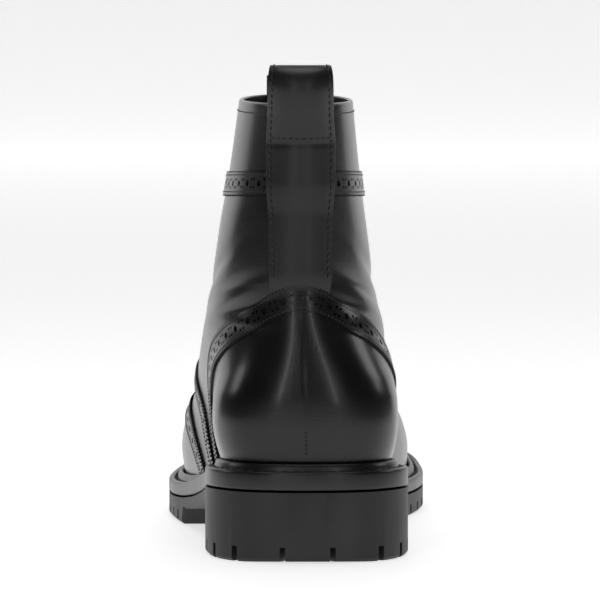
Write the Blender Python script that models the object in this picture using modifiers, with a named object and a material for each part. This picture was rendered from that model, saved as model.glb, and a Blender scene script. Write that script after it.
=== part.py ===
"""Left brogue ankle boot on a lugged rubber sole, standing on its tread.

Axes: +Y from heel to toe, +Z up, lateral side at -X. Tables are in millimetres
along the shoe (y = 0 at the back of the heel block); MM turns them into metres
and the box of the finished boot is centred on the origin.
"""
import math
import bmesh
import bpy
import numpy as np

MM = 0.001
GAP = 0.3            # clearance between pieces that meet
WALL = 2.0           # leather and lining of the upper
SOLE_LENGTH = 305.0
Y_SHIFT = -152.5     # centres the box along Y
X_SHIFT = 2.55       # centres the box across X

# outer edge of the sole: y along the shoe, lateral and medial x
OUTLINE = [
    # y,     x_lat,  x_med
    (0.0,    -1.0,    1.0),
    (1.2,   -13.0,   14.5),
    (5.0,   -23.5,   25.5),
    (12.0,  -31.5,   33.5),
    (24.0,  -37.5,   39.5),
    (42.0,  -40.0,   41.5),
    (62.0,  -40.0,   39.5),
    (82.0,  -40.5,   35.5),
    (104.0, -43.0,   31.5),
    (128.0, -47.0,   31.5),
    (152.0, -51.5,   36.5),
    (176.0, -55.5,   43.5),
    (200.0, -57.6,   49.5),
    (222.0, -56.5,   52.4),
    (244.0, -52.5,   52.0),
    (262.0, -46.0,   49.5),
    (278.0, -37.0,   43.5),
    (290.0, -26.5,   35.5),
    (298.5, -14.0,   26.0),
    (303.4,   -2.0,  15.5),
    (305.0,    6.5,   7.5),
]

# side view of the sole: top of the welt, joint line under it, underside, base of the lugs
SOLE_SIDE = [
    # y,     z_top, z_joint, z_tread, z_web
    (0.0,    36.0,  28.5,    0.6,     6.0),
    (8.0,    36.0,  28.5,    0.0,     6.0),
    (40.0,   35.0,  27.5,    0.0,     6.0),
    (72.0,   31.5,  24.2,    0.0,     6.0),
    (100.0,  26.0,  19.2,    0.0,    13.0),
    (130.0,  20.5,  14.3,    0.0,     8.5),
    (160.0,  17.0,  11.2,    0.0,     5.4),
    (190.0,  15.6,  10.0,    0.0,     4.6),
    (215.0,  15.6,  10.0,    0.0,     4.6),
    (240.0,  16.6,  10.9,    0.5,     5.0),
    (270.0,  20.0,  14.2,    3.4,     7.8),
    (305.0,  25.5,  19.6,    9.0,    13.4),
]
HEEL_BREAST = 74.0   # front face of the heel block
FORE_START = 150.0   # back edge of the forefoot lugs

# rings of the upper, from the feather line to the collar (outer face)
RINGS = [
    # back y, z, front y, z, sag, mix, k_heel, k_fore, w_lat, w_med, s_max, p_back, p_front
    (7.6, 36.3, 297.0, 24.9, 1.00, 0.00, 1.00, 1.000, 40.0, 38.0, 0.40, 2.1, 2.0),
    (5.6, 45.6, 298.8, 33.4, 0.86, 0.00, 1.08, 1.010, 40.0, 38.0, 0.40, 2.1, 2.0),
    (4.8, 55.2, 296.0, 41.7, 0.66, 0.06, 1.13, 0.970, 41.0, 43.5, 0.40, 2.1, 2.0),
    (5.0, 63.9, 287.0, 48.4, 0.48, 0.20, 1.14, 0.880, 41.5, 46.5, 0.40, 2.1, 2.0),
    (5.8, 71.5, 268.0, 54.1, 0.32, 0.40, 1.12, 0.780, 41.0, 46.0, 0.42, 2.1, 2.0),
    (7.0, 79.2, 240.0, 60.4, 0.16, 0.62, 1.06, 0.700, 40.2, 42.6, 0.42, 2.1, 2.0),
    (8.4, 87.4, 212.0, 69.6, 0.05, 0.82, 1.00, 0.640, 38.8, 38.2, 0.42, 2.1, 2.0),
    (9.8, 97.5, 186.0, 82.6, 0.00, 1.00, 0.90, 0.600, 36.8, 34.6, 0.42, 2.1, 2.0),
    (10.8, 109.5, 165.5, 97.0, 0.00, 1.00, 0.90, 0.600, 34.7, 31.3, 0.44, 2.1, 2.0),
    (11.4, 122.4, 150.5, 112.8, 0.00, 1.00, 0.90, 0.600, 33.0, 30.0, 0.46, 2.1, 2.1),
    (11.6, 136.3, 141.5, 129.2, 0.00, 1.00, 0.90, 0.600, 30.7, 28.2, 0.48, 2.1, 2.1),
    (11.6, 151.2, 136.8, 146.0, 0.00, 1.00, 0.90, 0.600, 27.5, 26.4, 0.50, 2.1, 2.1),
    (11.2, 166.1, 135.0, 163.7, 0.00, 1.00, 0.90, 0.600, 25.0, 24.6, 0.50, 2.1, 2.1),
    (10.8, 180.0, 134.6, 181.0, 0.00, 1.00, 0.90, 0.600, 23.0, 23.0, 0.50, 2.1, 2.1),
]
FEATHER_IN = 7.2     # the upper's foot lies this far inside the sole edge


# ---------------------------------------------------------------- curve helpers
def hermite(xs, ys, x):
    """Smooth curve through a table's rows, without overshoot."""
    n = len(xs)
    x = min(max(x, xs[0]), xs[-1])
    i = min(max(int(np.searchsorted(xs, x)) - 1, 0), n - 2)
    d = [(ys[k + 1] - ys[k]) / (xs[k + 1] - xs[k]) for k in range(n - 1)]

    def slope(k):
        if k == 0:
            return d[0]
        if k == n - 1:
            return d[-1]
        if d[k - 1] * d[k] <= 0:
            return 0.0
        return 2 * d[k - 1] * d[k] / (d[k - 1] + d[k])
    h = xs[i + 1] - xs[i]
    t = (x - xs[i]) / h
    a, b = slope(i) * h, slope(i + 1) * h
    return ((2 * t**3 - 3 * t**2 + 1) * ys[i] + (t**3 - 2 * t**2 + t) * a
            + (-2 * t**3 + 3 * t**2) * ys[i + 1] + (t**3 - t**2) * b)


def column(table, k):
    return [r[k] for r in table]


SIDE_Y = column(SOLE_SIDE, 0)


def side(y, k):
    return hermite(SIDE_Y, column(SOLE_SIDE, k), y)


def z_top(y):
    return side(y, 1)


def z_joint(y):
    return side(y, 2)


def edge(count):
    """Closed sole edge as count points, from the heel's back round the lateral side to the toe and home."""
    rows = [(r[1], r[0]) for r in OUTLINE] + [(r[2], r[0]) for r in reversed(OUTLINE)]
    p = np.array(rows)
    n = len(p)
    dense = []
    for i in range(n):
        a, b, c, d = p[i - 1], p[i], p[(i + 1) % n], p[(i + 2) % n]
        ta = np.linalg.norm(b - a) ** 0.5
        tb = ta + np.linalg.norm(c - b) ** 0.5
        tc = tb + np.linalg.norm(d - c) ** 0.5
        for u in np.linspace(ta, tb, 24, endpoint=False):
            a1 = a * (ta - u) / ta + b * u / ta
            a2 = b * (tb - u) / (tb - ta) + c * (u - ta) / (tb - ta)
            a3 = c * (tc - u) / (tc - tb) + d * (u - tb) / (tc - tb)
            b1 = a1 * (tb - u) / tb + a2 * u / tb
            b2 = a2 * (tc - u) / (tc - ta) + a3 * (u - ta) / (tc - ta)
            dense.append(b1 * (tb - u) / (tb - ta) + b2 * (u - ta) / (tb - ta))
    dense = np.array(dense)
    loop = np.vstack([dense, dense[:1]])
    s = np.concatenate([[0], np.cumsum(np.linalg.norm(np.diff(loop, axis=0), axis=1))])
    q = np.linspace(0, s[-1], count, endpoint=False)
    return np.stack([np.interp(q, s, loop[:, 0]), np.interp(q, s, loop[:, 1])], 1)


def inset(loop, d):
    """Loop moved inwards by d along its own normals."""
    t = np.roll(loop, -1, 0) - np.roll(loop, 1, 0)
    t /= np.linalg.norm(t, axis=1)[:, None]
    nrm = np.stack([t[:, 1], -t[:, 0]], 1)
    centre = loop.mean(0)
    if np.sum(nrm * (centre - loop)) < 0:
        nrm = -nrm
    return loop + nrm * d


def half_width_of(loop):
    """Widths of a loop as functions of y: lateral and medial."""
    lo, hi = int(np.argmin(loop[:, 1])), int(np.argmax(loop[:, 1]))
    n = len(loop)

    def walk(i, j):
        k, out = i, [loop[i]]
        while k != j:
            k = (k + 1) % n
            out.append(loop[k])
        return np.array(out)
    a, b = walk(lo, hi), walk(hi, lo)[::-1]
    lat, med = (a, b) if a[:, 0].mean() < b[:, 0].mean() else (b, a)
    return (lambda y: float(np.interp(y, lat[:, 1], lat[:, 0])),
            lambda y: float(np.interp(y, med[:, 1], med[:, 0])),
            float(loop[:, 1].min()), float(loop[:, 1].max()))


FEATHER = half_width_of(inset(edge(720), FEATHER_IN))


def upper_row(v):
    """Ring values at level v (0 at the feather line, 1 at the collar)."""
    pos = v * (len(RINGS) - 1)
    idx = list(range(len(RINGS)))
    return [hermite(idx, column(RINGS, k), pos) for k in range(len(RINGS[0]))]


SHAFT_LEAN = (-1.6, -0.026)   # the shaft's centre line: x at the back, and its drift per mm towards the toe


def axis_x(y, v):
    """Centre line of the foot, which leans to the toe tip on the sole and runs straight in the shaft."""
    lat, med, y0, y1 = FEATHER
    yy = min(max(y, y0 + 0.5), y1 - 0.5)
    mid = 0.5 * (lat(yy) + med(yy))
    keep = max(0.0, 1.0 - v / 0.62) ** 0.7
    return mid * keep + (SHAFT_LEAN[0] + SHAFT_LEAN[1] * y) * (1 - keep)


def upper_point(theta, v, out=0.0):
    """Outer face of the upper: theta runs 0 (back) over the lateral side to pi (front) and on over the medial side."""
    r = upper_row(v)
    yb, zb, yf, zf, sag, mix, kh, kf, wl, wm, sm, pb, pf = r
    s = 0.5 * (1 - math.cos(theta))
    lateral = math.sin(theta) >= 0
    lat, med, y0, y1 = FEATHER
    y = yb + (yf - yb) * s
    yfe = y0 + (y1 - y0) * s
    chord0 = z_top(y0) + (z_top(y1) - z_top(y0)) * s
    z = zb + (zf - zb) * s - sag * (chord0 - z_top(yfe))
    mid0 = 0.5 * (lat(yfe) + med(yfe))
    base = abs((lat(yfe) if lateral else med(yfe)) - mid0)
    k = kh + (kf - kh) * (s * s * (3 - 2 * s))
    w = wl if lateral else wm
    if s < sm:
        g = max(0.0, 1 - ((sm - s) / sm) ** pb) ** (1 / pb)
    else:
        g = max(0.0, 1 - ((s - sm) / (1 - sm)) ** pf) ** (1 / pf)
    half = (1 - mix) * base * k + mix * w * g
    x = axis_x(yfe * (1 - mix) + y * mix, v) + (-half if lateral else half)
    p = np.array([x, y, z])
    if out:
        p = p + out * upper_normal(theta, v)
    return p


def upper_normal(theta, v):
    e = 0.004
    a = upper_point(theta + e, v) - upper_point(theta - e, v)
    b = upper_point(theta, min(1.0, v + e)) - upper_point(theta, max(0.0, v - e))
    n = np.cross(b, a)
    return n / np.linalg.norm(n)


# ---------------------------------------------------------------- scene helpers
for old in list(bpy.data.objects):
    bpy.data.objects.remove(old, do_unlink=True)

BOOT = bpy.data.collections.new("brogue_boot")
CUT = bpy.data.collections.new("brogue_boot_cutters")
bpy.context.scene.collection.children.link(BOOT)
bpy.context.scene.collection.children.link(CUT)


def material(name, colour, rough, metal=0.0):
    m = bpy.data.materials.new(name)
    m.use_nodes = True
    b = m.node_tree.nodes["Principled BSDF"]
    b.inputs["Base Color"].default_value = (*colour, 1)
    b.inputs["Roughness"].default_value = rough
    b.inputs["Metallic"].default_value = metal
    m.diffuse_color = (*colour, 1)
    return m


def place(p):
    return ((p[0] + X_SHIFT) * MM, (p[1] + Y_SHIFT) * MM, p[2] * MM)


def make(name, verts, faces, mat=None, cutter=False, smooth=True):
    me = bpy.data.meshes.new(name)
    me.from_pydata([place(p) for p in verts], [], faces)
    bm = bmesh.new()
    bm.from_mesh(me)
    bmesh.ops.remove_doubles(bm, verts=bm.verts, dist=1e-6)
    bmesh.ops.recalc_face_normals(bm, faces=bm.faces)
    bm.to_mesh(me)
    bm.free()
    ob = bpy.data.objects.new(name, me)
    (CUT if cutter else BOOT).objects.link(ob)
    if cutter:
        ob.hide_render = True
        ob.display_type = 'WIRE'
    elif mat:
        me.materials.append(mat)
    if smooth and not cutter:
        me.shade_smooth()
        me.set_sharp_from_angle(angle=math.radians(40))
    return ob


def skin(rings, closed=True, caps=True):
    """Loft of equal point rings."""
    n = len(rings[0])
    verts = [p for r in rings for p in r]
    faces = []
    for i in range(len(rings) - 1):
        for j in range(n if closed else n - 1):
            a, b = i * n + j, i * n + (j + 1) % n
            faces.append((a, b, b + n, a + n))
    if caps:
        faces.append(tuple(range(n)))
        faces.append(tuple(range((len(rings) - 1) * n, len(rings) * n)))
    return verts, faces


def boolean(ob, cutter, op):
    m = ob.modifiers.new(op.lower(), 'BOOLEAN')
    m.operation = op
    m.solver = 'EXACT'
    m.object = cutter
    return m


RUBBER = material("sole_rubber", (0.035, 0.037, 0.04), 0.5)
WELT = material("welt_rubber", (0.03, 0.031, 0.034), 0.4)
LEATHER = material("black_leather", (0.02, 0.02, 0.022), 0.28)
LINING = material("lining_leather", (0.05, 0.048, 0.046), 0.6)
LACE = material("lace_cotton", (0.015, 0.015, 0.015), 0.8)
METAL = material("gunmetal", (0.06, 0.06, 0.065), 0.3, 1.0)


# ---------------------------------------------------------------- outsole
def outsole_stations():
    ys = [SOLE_LENGTH * 0.5 * (1 - math.cos(math.pi * i / 44)) for i in range(45)]
    ys[0], ys[-1] = 0.35, SOLE_LENGTH - 0.25
    ys = [y for y in ys if abs(y - HEEL_BREAST) > 2.2 and abs(y - FORE_START) > 2.2]
    ys += [HEEL_BREAST - 1.4, HEEL_BREAST + 1.4, FORE_START - 1.6, FORE_START + 1.6]
    return sorted(ys)


FULL = half_width_of(edge(720))


def outsole():
    rings = []
    for y in outsole_stations():
        xl, xm = FULL[0](y), FULL[1](y)
        top = z_joint(y) - GAP - 0.45
        waist = HEEL_BREAST < y < FORE_START
        low = z_joint(y) - 5.6 if waist else side(y, 3)
        r = min(1.2, 0.2 * (xm - xl))
        ring = [(xl, top), (xl, low + r), (xl + r, low), (xm - r, low), (xm, low + r), (xm, top)]
        rings.append([(x, y, z) for x, z in ring])
    return make("outsole", *skin(rings), RUBBER)


def prism(outline, z0, z1):
    low = [(x, y, z0) for x, y in outline]
    high = [(x, y, z1) for x, y in outline]
    return skin([low, high])


def merged(shapes):
    verts, faces = [], []
    for v, f in shapes:
        k = len(verts)
        verts += v
        faces += [tuple(i + k for i in q) for q in f]
    return verts, faces


def web_bar(stations, deep=-4.0):
    """Cutting bar from below the floor up to the base of the lugs, through rows of (left, right) points."""
    rings = []
    for (xa, ya), (xb, yb) in stations:
        rings.append([(xa, ya, deep), (xa, ya, side(ya, 4)), (xb, yb, side(yb, 4)), (xb, yb, deep)])
    return skin(rings)


# clear field inside the forefoot lugs: y, lateral x, medial x
FORE_FIELD = [(146.0, -29.0, 20.5), (155.0, -30.5, 23.0), (175.0, -31.0, 26.5), (200.0, -30.0, 29.0),
              (222.0, -26.0, 29.5), (243.0, -18.0, 26.5), (258.0, -7.5, 20.0), (264.0, 2.0, 11.0)]
HEEL_FIELD = [(82.0, -14.5, 13.5), (66.0, -14.5, 13.5), (50.0, -13.0, 12.5), (38.0, -8.5, 9.0), (33.0, -3.0, 3.5)]


def field_bar(rows):
    rr = sorted(rows)
    fy = column(rr, 0)
    count = max(6, int((fy[-1] - fy[0]) / 11))
    ys = [fy[0] + (fy[-1] - fy[0]) * i / count for i in range(count + 1)]
    return web_bar([((hermite(fy, column(rr, 1), y), y), (hermite(fy, column(rr, 2), y), y)) for y in ys])


def groove(inner, outer, width, node):
    """Slot between two lugs, with the diamond swelling halfway along it."""
    a, b = np.array(inner, float), np.array(outer, float)
    d = (b - a) / np.linalg.norm(b - a)
    n = np.array([-d[1], d[0]])
    a, b = a - d * 1.5, b + d * 4.0
    length = np.linalg.norm(b - a)
    h = width / 2
    cut = []
    for along, half in ((0.0, h), (length * 0.44 - node, h), (length * 0.44, h + node * 0.75),
                        (length * 0.44 + node, h), (length, h * 1.15)):
        cut.append((along, half))
    return web_bar([(tuple(a + d * s + n * w), tuple(a + d * s - n * w)) for s, w in cut])


# lug slots: inner y, outer y on each side (x comes from the field and the edge)
FORE_SLOTS = [(162.5, 161.0), (173.5, 173.5), (185.0, 186.5), (197.5, 200.5), (209.5, 214.0),
              (221.5, 227.5), (232.5, 241.0), (242.5, 254.5), (251.0, 268.0), (257.5, 282.0)]
HEEL_SLOTS = [(66.5, 67.0), (57.5, 57.0), (48.5, 46.0), (41.5, 34.0), (36.5, 20.5), (33.6, 8.5)]


def slots():
    shapes = []
    for rows, table, w in ((FORE_FIELD, FORE_SLOTS, 2.6), (HEEL_FIELD, HEEL_SLOTS, 2.4)):
        rr = sorted(rows)
        fy = column(rr, 0)
        for yi, yo in table:
            for k, sgn in ((1, 0), (2, 1)):
                xi = hermite(fy, column(rr, k), yi)
                xo = FULL[sgn](yo)
                shapes.append(groove((xi, yi), (xo, yo), w, 2.2))
    shapes.append(groove((6.5, 263.0), (8.5, 304.0), 2.2, 2.0))
    shapes.append(groove((-1.7, 30.2), (-9.0, 1.0), 2.0, 2.0))
    shapes.append(groove((2.2, 30.2), (10.8, 1.0), 2.0, 2.0))
    return merged(shapes)


STUDS = [  # clover studs of the clear fields: x, y
    (7.5, 246.0), (-5.0, 229.0), (14.5, 222.0), (-13.5, 207.0), (7.0, 201.0), (-16.5, 182.0), (5.5, 179.0),
    (-7.5, 157.0), (0.5, 70.0 - 4.0), (0.0, 46.0)]


def stud(cx, cy, size=6.2):
    pts = []
    for i in range(16):
        a = math.radians(45.0 / 2 * i)
        r = size * (1.0 if i % 4 == 2 else 0.86 if i % 2 else 0.56)
        pts.append((cx + r * math.cos(a), cy + r * math.sin(a)))
    z0 = side(cy, 3) + 0.4
    return prism(pts, z0, side(cy, 4) + 1.2)


sole = outsole()
fore_cut = make("cut_fore_field", *field_bar(FORE_FIELD), cutter=True)
heel_cut = make("cut_heel_field", *field_bar(HEEL_FIELD), cutter=True)
slot_cut = make("cut_slots", *slots(), cutter=True)
stud_add = make("stud_forms", *merged([stud(*s) for s in STUDS]), cutter=True)
boolean(sole, fore_cut, 'DIFFERENCE')
boolean(sole, heel_cut, 'DIFFERENCE')
boolean(sole, slot_cut, 'DIFFERENCE')
boolean(sole, stud_add, 'UNION')


# ---------------------------------------------------------------- welt and midsole in one
def welt():
    n = 72
    base = edge(720)
    pick = [i * 10 for i in range(n)]

    def ring(d, zf):
        loop = inset(base, d) if d else base
        return [(loop[i][0], loop[i][1], zf(min(max(base[i][1], 0), SOLE_LENGTH))) for i in pick]
    rings = [
        ring(9.0, z_joint), ring(0.9, z_joint), ring(0.0, lambda y: z_joint(y) + 0.9),
        ring(0.0, lambda y: z_top(y) - 1.0), ring(0.9, z_top), ring(3.6, z_top),
        ring(4.3, lambda y: z_top(y) + 2.0), ring(5.3, lambda y: z_top(y) + 2.9),
        ring(6.3, lambda y: z_top(y) + 2.2), ring(FEATHER_IN - GAP, lambda y: z_top(y) + 0.4),
        ring(9.0, lambda y: z_top(y) - 1.4)]
    verts, faces = skin(rings, caps=False)
    # the two flat fields inside the rings are closed across the shoe, row by row
    for k in (0, len(rings) - 1):
        lo = min(range(n), key=lambda i: rings[k][i][1])
        a = [(lo + i) % n for i in range(n)]
        i, j = 0, n - 1
        faces.append((k * n + a[0], k * n + a[1], k * n + a[n - 1]))
        i, j = 1, n - 1
        while i + 1 < j - 1:
            faces.append((k * n + a[i], k * n + a[i + 1], k * n + a[j - 1], k * n + a[j]))
            i, j = i + 1, j - 1
        if i + 1 < j:
            faces.append((k * n + a[i], k * n + a[i + 1], k * n + a[j]))
    return make("welt", verts, faces, WELT)


welt_obj = welt()

# ---------------------------------------------------------------- upper
AROUND = 40
LEVELS = 24


def upper():
    rings = []
    for i in range(LEVELS):
        v = i / (LEVELS - 1)
        rings.append([tuple(upper_point(2 * math.pi * j / AROUND + 1e-4, v) + np.array([0, 0, GAP if i == 0 else 0]))
                      for j in range(AROUND)])
    verts, faces = skin(rings, caps=False)
    ob = make("upper", verts, faces, LEATHER)
    s = ob.modifiers.new("wall", 'SOLIDIFY')
    s.thickness = WALL * MM
    s.offset = -1
    s.use_even_offset = True
    return ob


upper_obj = upper()


def extrude_x(side_loop, x0, x1):
    return skin([[(x0, y, z) for y, z in side_loop], [(x1, y, z) for y, z in side_loop]])


THROAT_HALF = 8.0
THROAT_X = -5.6
throat = make("cut_throat", *extrude_x([(116, 205), (116, 130), (140, 96), (180, 70), (201, 64), (204, 90),
                                        (180, 125), (160, 205)], THROAT_X - THROAT_HALF, THROAT_X + THROAT_HALF), cutter=True)
boolean(upper_obj, throat, 'DIFFERENCE')


# ---------------------------------------------------------------- insole
def insole():
    n = 60
    base = inset(edge(720), FEATHER_IN + WALL + 2.2)
    pick = [i * 12 for i in range(n)]
    y_of = lambda i: min(max(base[i][1], 0), SOLE_LENGTH)
    low = [(base[i][0], base[i][1], z_top(y_of(i)) + GAP) for i in pick]
    high = [(base[i][0], base[i][1], z_top(y_of(i)) + GAP + 3.2) for i in pick]
    verts, faces = skin([low, high], caps=False)
    for k in (0, 1):
        lo = min(range(n), key=lambda i: low[i][1])
        a = [(lo + i) % n for i in range(n)]
        faces.append((k * n + a[0], k * n + a[1], k * n + a[n - 1]))
        i, j = 1, n - 1
        while i + 1 < j - 1:
            faces.append((k * n + a[i], k * n + a[i + 1], k * n + a[j - 1], k * n + a[j]))
            i, j = i + 1, j - 1
        if i + 1 < j:
            faces.append((k * n + a[i], k * n + a[i + 1], k * n + a[j]))
    return make("insole", verts, faces, LINING)


insole_obj = insole()


# ---------------------------------------------------------------- tongue
def tongue():
    rows = []
    cols = 9
    for i in range(15):
        t = i / 14
        v = 0.43 + 0.57 * min(1.0, t / 0.93)
        spread = 0.62 - 0.05 * t
        lift = max(0.0, (t - 0.93) / 0.07)
        row = []
        for j in range(cols):
            th = math.pi + spread * (2 * j / (cols - 1) - 1)
            p = upper_point(th, v, -(WALL + 0.9))
            row.append(tuple(p + np.array([0, 3.0 * lift, 9.0 * lift])))
        rows.append(row)
    verts = [p for r in rows for p in r]
    faces = [(i * cols + j, i * cols + j + 1, (i + 1) * cols + j + 1, (i + 1) * cols + j)
             for i in range(len(rows) - 1) for j in range(cols - 1)]
    return verts, faces


def solid_sheet(name, grid, thick, mat, inward=None):
    """Sheet of grid points thickened along its own normals, closed all round."""
    g = np.array(grid)
    du = np.gradient(g, axis=0)
    dv = np.gradient(g, axis=1)
    nr = np.cross(du, dv)
    nr /= np.linalg.norm(nr, axis=2)[:, :, None]
    if inward is not None:
        mid = nr[g.shape[0] // 2, g.shape[1] // 2]
        if np.dot(mid, inward) < 0:
            nr = -nr
    h = g + nr * thick
    r, c = g.shape[:2]
    verts = [tuple(p) for p in g.reshape(-1, 3)] + [tuple(p) for p in h.reshape(-1, 3)]
    k = r * c
    faces = []
    for i in range(r - 1):
        for j in range(c - 1):
            a = i * c + j
            faces.append((a, a + 1, a + c + 1, a + c))
            faces.append((k + a, k + a + c, k + a + c + 1, k + a + 1))
    for j in range(c - 1):
        for base_row in (0, (r - 1) * c):
            a = base_row + j
            faces.append((a, a + 1, k + a + 1, k + a))
    for i in range(r - 1):
        for base_col in (0, c - 1):
            a = i * c + base_col
            faces.append((a, a + c, k + a + c, k + a))
    return make(name, verts, faces, mat)


tv, _ = tongue()
tongue_obj = solid_sheet("tongue", np.array(tv).reshape(15, 9, 3), 2.0, LEATHER, inward=(0, -1, -0.6))


# ---------------------------------------------------------------- pull loop at the back
LOOP_HALF = 12.3
LOOP_THICK = 1.8


def back_theta(x, v):
    """Ring angle near the back whose point has this x."""
    lo, hi = -1.2, 1.2
    for _ in range(40):
        m = 0.5 * (lo + hi)
        if upper_point(m, v)[0] > x:
            lo = m
        else:
            hi = m
    return 0.5 * (lo + hi)


LOOP_PATH = [  # free part of the strap over the collar: y behind (-) or inside (+) the back line, z
    (-3.4, 176.2), (-5.4, 182.0), (-5.9, 187.8), (-3.7, 192.6), (0.6, 194.6), (4.9, 192.8), (6.7, 187.8),
    (6.0, 182.6)]


def loop_rows():
    cols = 7
    rows = []

    def surface(v, off):
        row = []
        for j in range(cols):
            x = SHAFT_LEAN[0] - 0.3 + LOOP_HALF * (2 * j / (cols - 1) - 1)
            th = back_theta(x, v)
            row.append(upper_point(th, v, off))
        return row
    for v in (0.770, 0.81, 0.85, 0.89, 0.925):
        rows.append(surface(v, GAP + 0.3))
    top = surface(0.985, GAP + 0.3)
    ref = top[cols // 2][1]
    for dy, z in LOOP_PATH:
        row = []
        flat = 0.5 if z > 190 else 0.7 if z > 185 else 0.95
        for j in range(cols):
            x = SHAFT_LEAN[0] - 0.3 + LOOP_HALF * (2 * j / (cols - 1) - 1)
            bow = (top[j][1] - ref) * flat
            row.append(np.array([x, ref + dy + bow, z]))
        rows.append(row)
    for v in (0.965, 0.93, 0.89, 0.85):
        rows.append(surface(v, -(WALL + GAP + 0.5)))
    return rows


rows = loop_rows()
loop_obj = solid_sheet("pull_loop", np.array(rows), LOOP_THICK, LEATHER, inward=(0, -1, 0.2))


# ---------------------------------------------------------------- eyelets, hooks, laces
# facing stations: level v of each pair, eyelets below, hooks above
EYE_LEVELS = [0.505, 0.560, 0.618, 0.678]
HOOK_LEVELS = [0.750, 0.835, 0.925]
FACING_X = 14.5


def front_theta(x, v):
    x = x + upper_point(math.pi, v)[0]
    lo, hi = math.pi - 1.2, math.pi + 1.2
    for _ in range(40):
        m = 0.5 * (lo + hi)
        if upper_point(m, v)[0] < x:
            lo = m
        else:
            hi = m
    return 0.5 * (lo + hi)


def frame_at(x, v):
    th = front_theta(x, v)
    p = upper_point(th, v)
    n = upper_normal(th, v)
    up = upper_point(th, v + 0.01) - upper_point(th, v - 0.01)
    up -= n * np.dot(up, n)
    up /= np.linalg.norm(up)
    return p, n, up, np.cross(n, up)


def turned(profile, seg, p, n, u, w):
    """Profile (radius, height) turned about the normal n."""
    rings = []
    for i in range(seg):
        a = 2 * math.pi * i / seg
        d = u * math.cos(a) + w * math.sin(a)
        rings.append([tuple(p + d * r + n * h) for r, h in profile])
    m = len(profile)
    verts = [q for r in rings for q in r]
    faces = [(i * m + j, i * m + (j + 1) % m, ((i + 1) % seg) * m + (j + 1) % m, ((i + 1) % seg) * m + j)
             for i in range(seg) for j in range(m)]
    return verts, faces


def eyelet(name, x, v):
    p, n, u, w = frame_at(x, v)
    prof = [(1.7, 0.45), (3.6, 0.45), (3.5, 0.9), (2.6, 1.3), (1.8, 0.95)]
    return make(name, *turned(prof, 12, p, n, u, w), METAL)


def hook(name, x, v):
    """Speed hook: a foot plate, a neck and a curled tongue that opens away from the throat."""
    p, n, u, w = frame_at(x, v)
    out = w if np.dot(w, np.array([math.copysign(1, x), 0, 0])) > 0 else -w
    prof = [(-3.4, 0.5), (-3.4, 1.1), (-2.2, 1.5), (-1.9, 2.8), (-0.9, 4.1), (0.9, 4.7), (2.9, 4.5), (4.5, 3.6),
            (4.2, 3.0), (2.7, 3.7), (0.9, 3.8), (-0.1, 3.3), (-0.6, 2.5), (-0.4, 1.6), (0.2, 1.2), (3.2, 1.2),
            (3.2, 0.5)]
    rings = []
    for side_w in (-2.1, 2.1):
        rings.append([tuple(p + out * a + n * (b + 0.15) + u * side_w) for a, b in prof])
    return make(name, *skin(rings), METAL)


for k, v in enumerate(EYE_LEVELS):
    eyelet("eyelet_lat_%d" % (k + 1), -FACING_X, v)
    eyelet("eyelet_med_%d" % (k + 1), FACING_X, v)
for k, v in enumerate(HOOK_LEVELS):
    hook("hook_lat_%d" % (k + 1), -FACING_X, v)
    hook("hook_med_%d" % (k + 1), FACING_X, v)


def ridge(v):
    p = upper_point(math.pi, v)
    n = upper_normal(math.pi, v)
    return p, n


def lace_path(sign):
    """One run of the lace, from side to side over the throat, up to the top hooks."""
    levels = EYE_LEVELS + HOOK_LEVELS
    pts = []
    for k in range(len(levels) - 1):
        a, b = levels[k], levels[k + 1]
        s = sign if k % 2 == 0 else -sign
        for t in (0.0, 0.25, 0.5, 0.75, 1.0):
            if t == 1.0 and k < len(levels) - 2:
                continue
            x = s * (FACING_X - 5.2) * (1 - 2 * t)
            v = a + (b - a) * t
            p, n, u, w = frame_at(x, v)
            pts.append(p + n * 2.6)
    return pts


def lace(sign, name):
    cu = bpy.data.curves.new(name, 'CURVE')
    cu.dimensions = '3D'
    cu.bevel_depth = 1.5 * MM
    cu.bevel_resolution = 1
    cu.use_fill_caps = True
    pts = lace_path(sign)
    sp = cu.splines.new('POLY')
    sp.points.add(len(pts) - 1)
    for q, p in zip(sp.points, pts):
        q.co = (*place(p), 1)
    ob = bpy.data.objects.new(name + "_guide", cu)
    BOOT.objects.link(ob)
    deps = bpy.context.evaluated_depsgraph_get()
    me = bpy.data.meshes.new_from_object(ob.evaluated_get(deps))
    bm = bmesh.new()
    bm.from_mesh(me)
    bmesh.ops.remove_doubles(bm, verts=bm.verts, dist=1e-6)
    bmesh.ops.recalc_face_normals(bm, faces=bm.faces)
    bm.to_mesh(me)
    bm.free()
    new = bpy.data.objects.new(name, me)
    new.matrix_world = ob.matrix_world
    bpy.data.objects.remove(ob, do_unlink=True)
    return new


lace_a = lace(1, "laces")
lace_b = lace(-1, "lace_second_run")
BOOT.objects.link(lace_a)
CUT.objects.link(lace_b)
lace_b.hide_render = True
lace_b.display_type = 'WIRE'
lace_a.data.materials.clear()
lace_a.data.materials.append(LACE)
boolean(lace_a, lace_b, 'UNION')
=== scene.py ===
"""Looks of the left brogue boot: leather panels, perforations, stitching, laces, lugged rubber sole."""
import math
import random
import bpy
import bmesh
import numpy as np
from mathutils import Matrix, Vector, geometry


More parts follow.
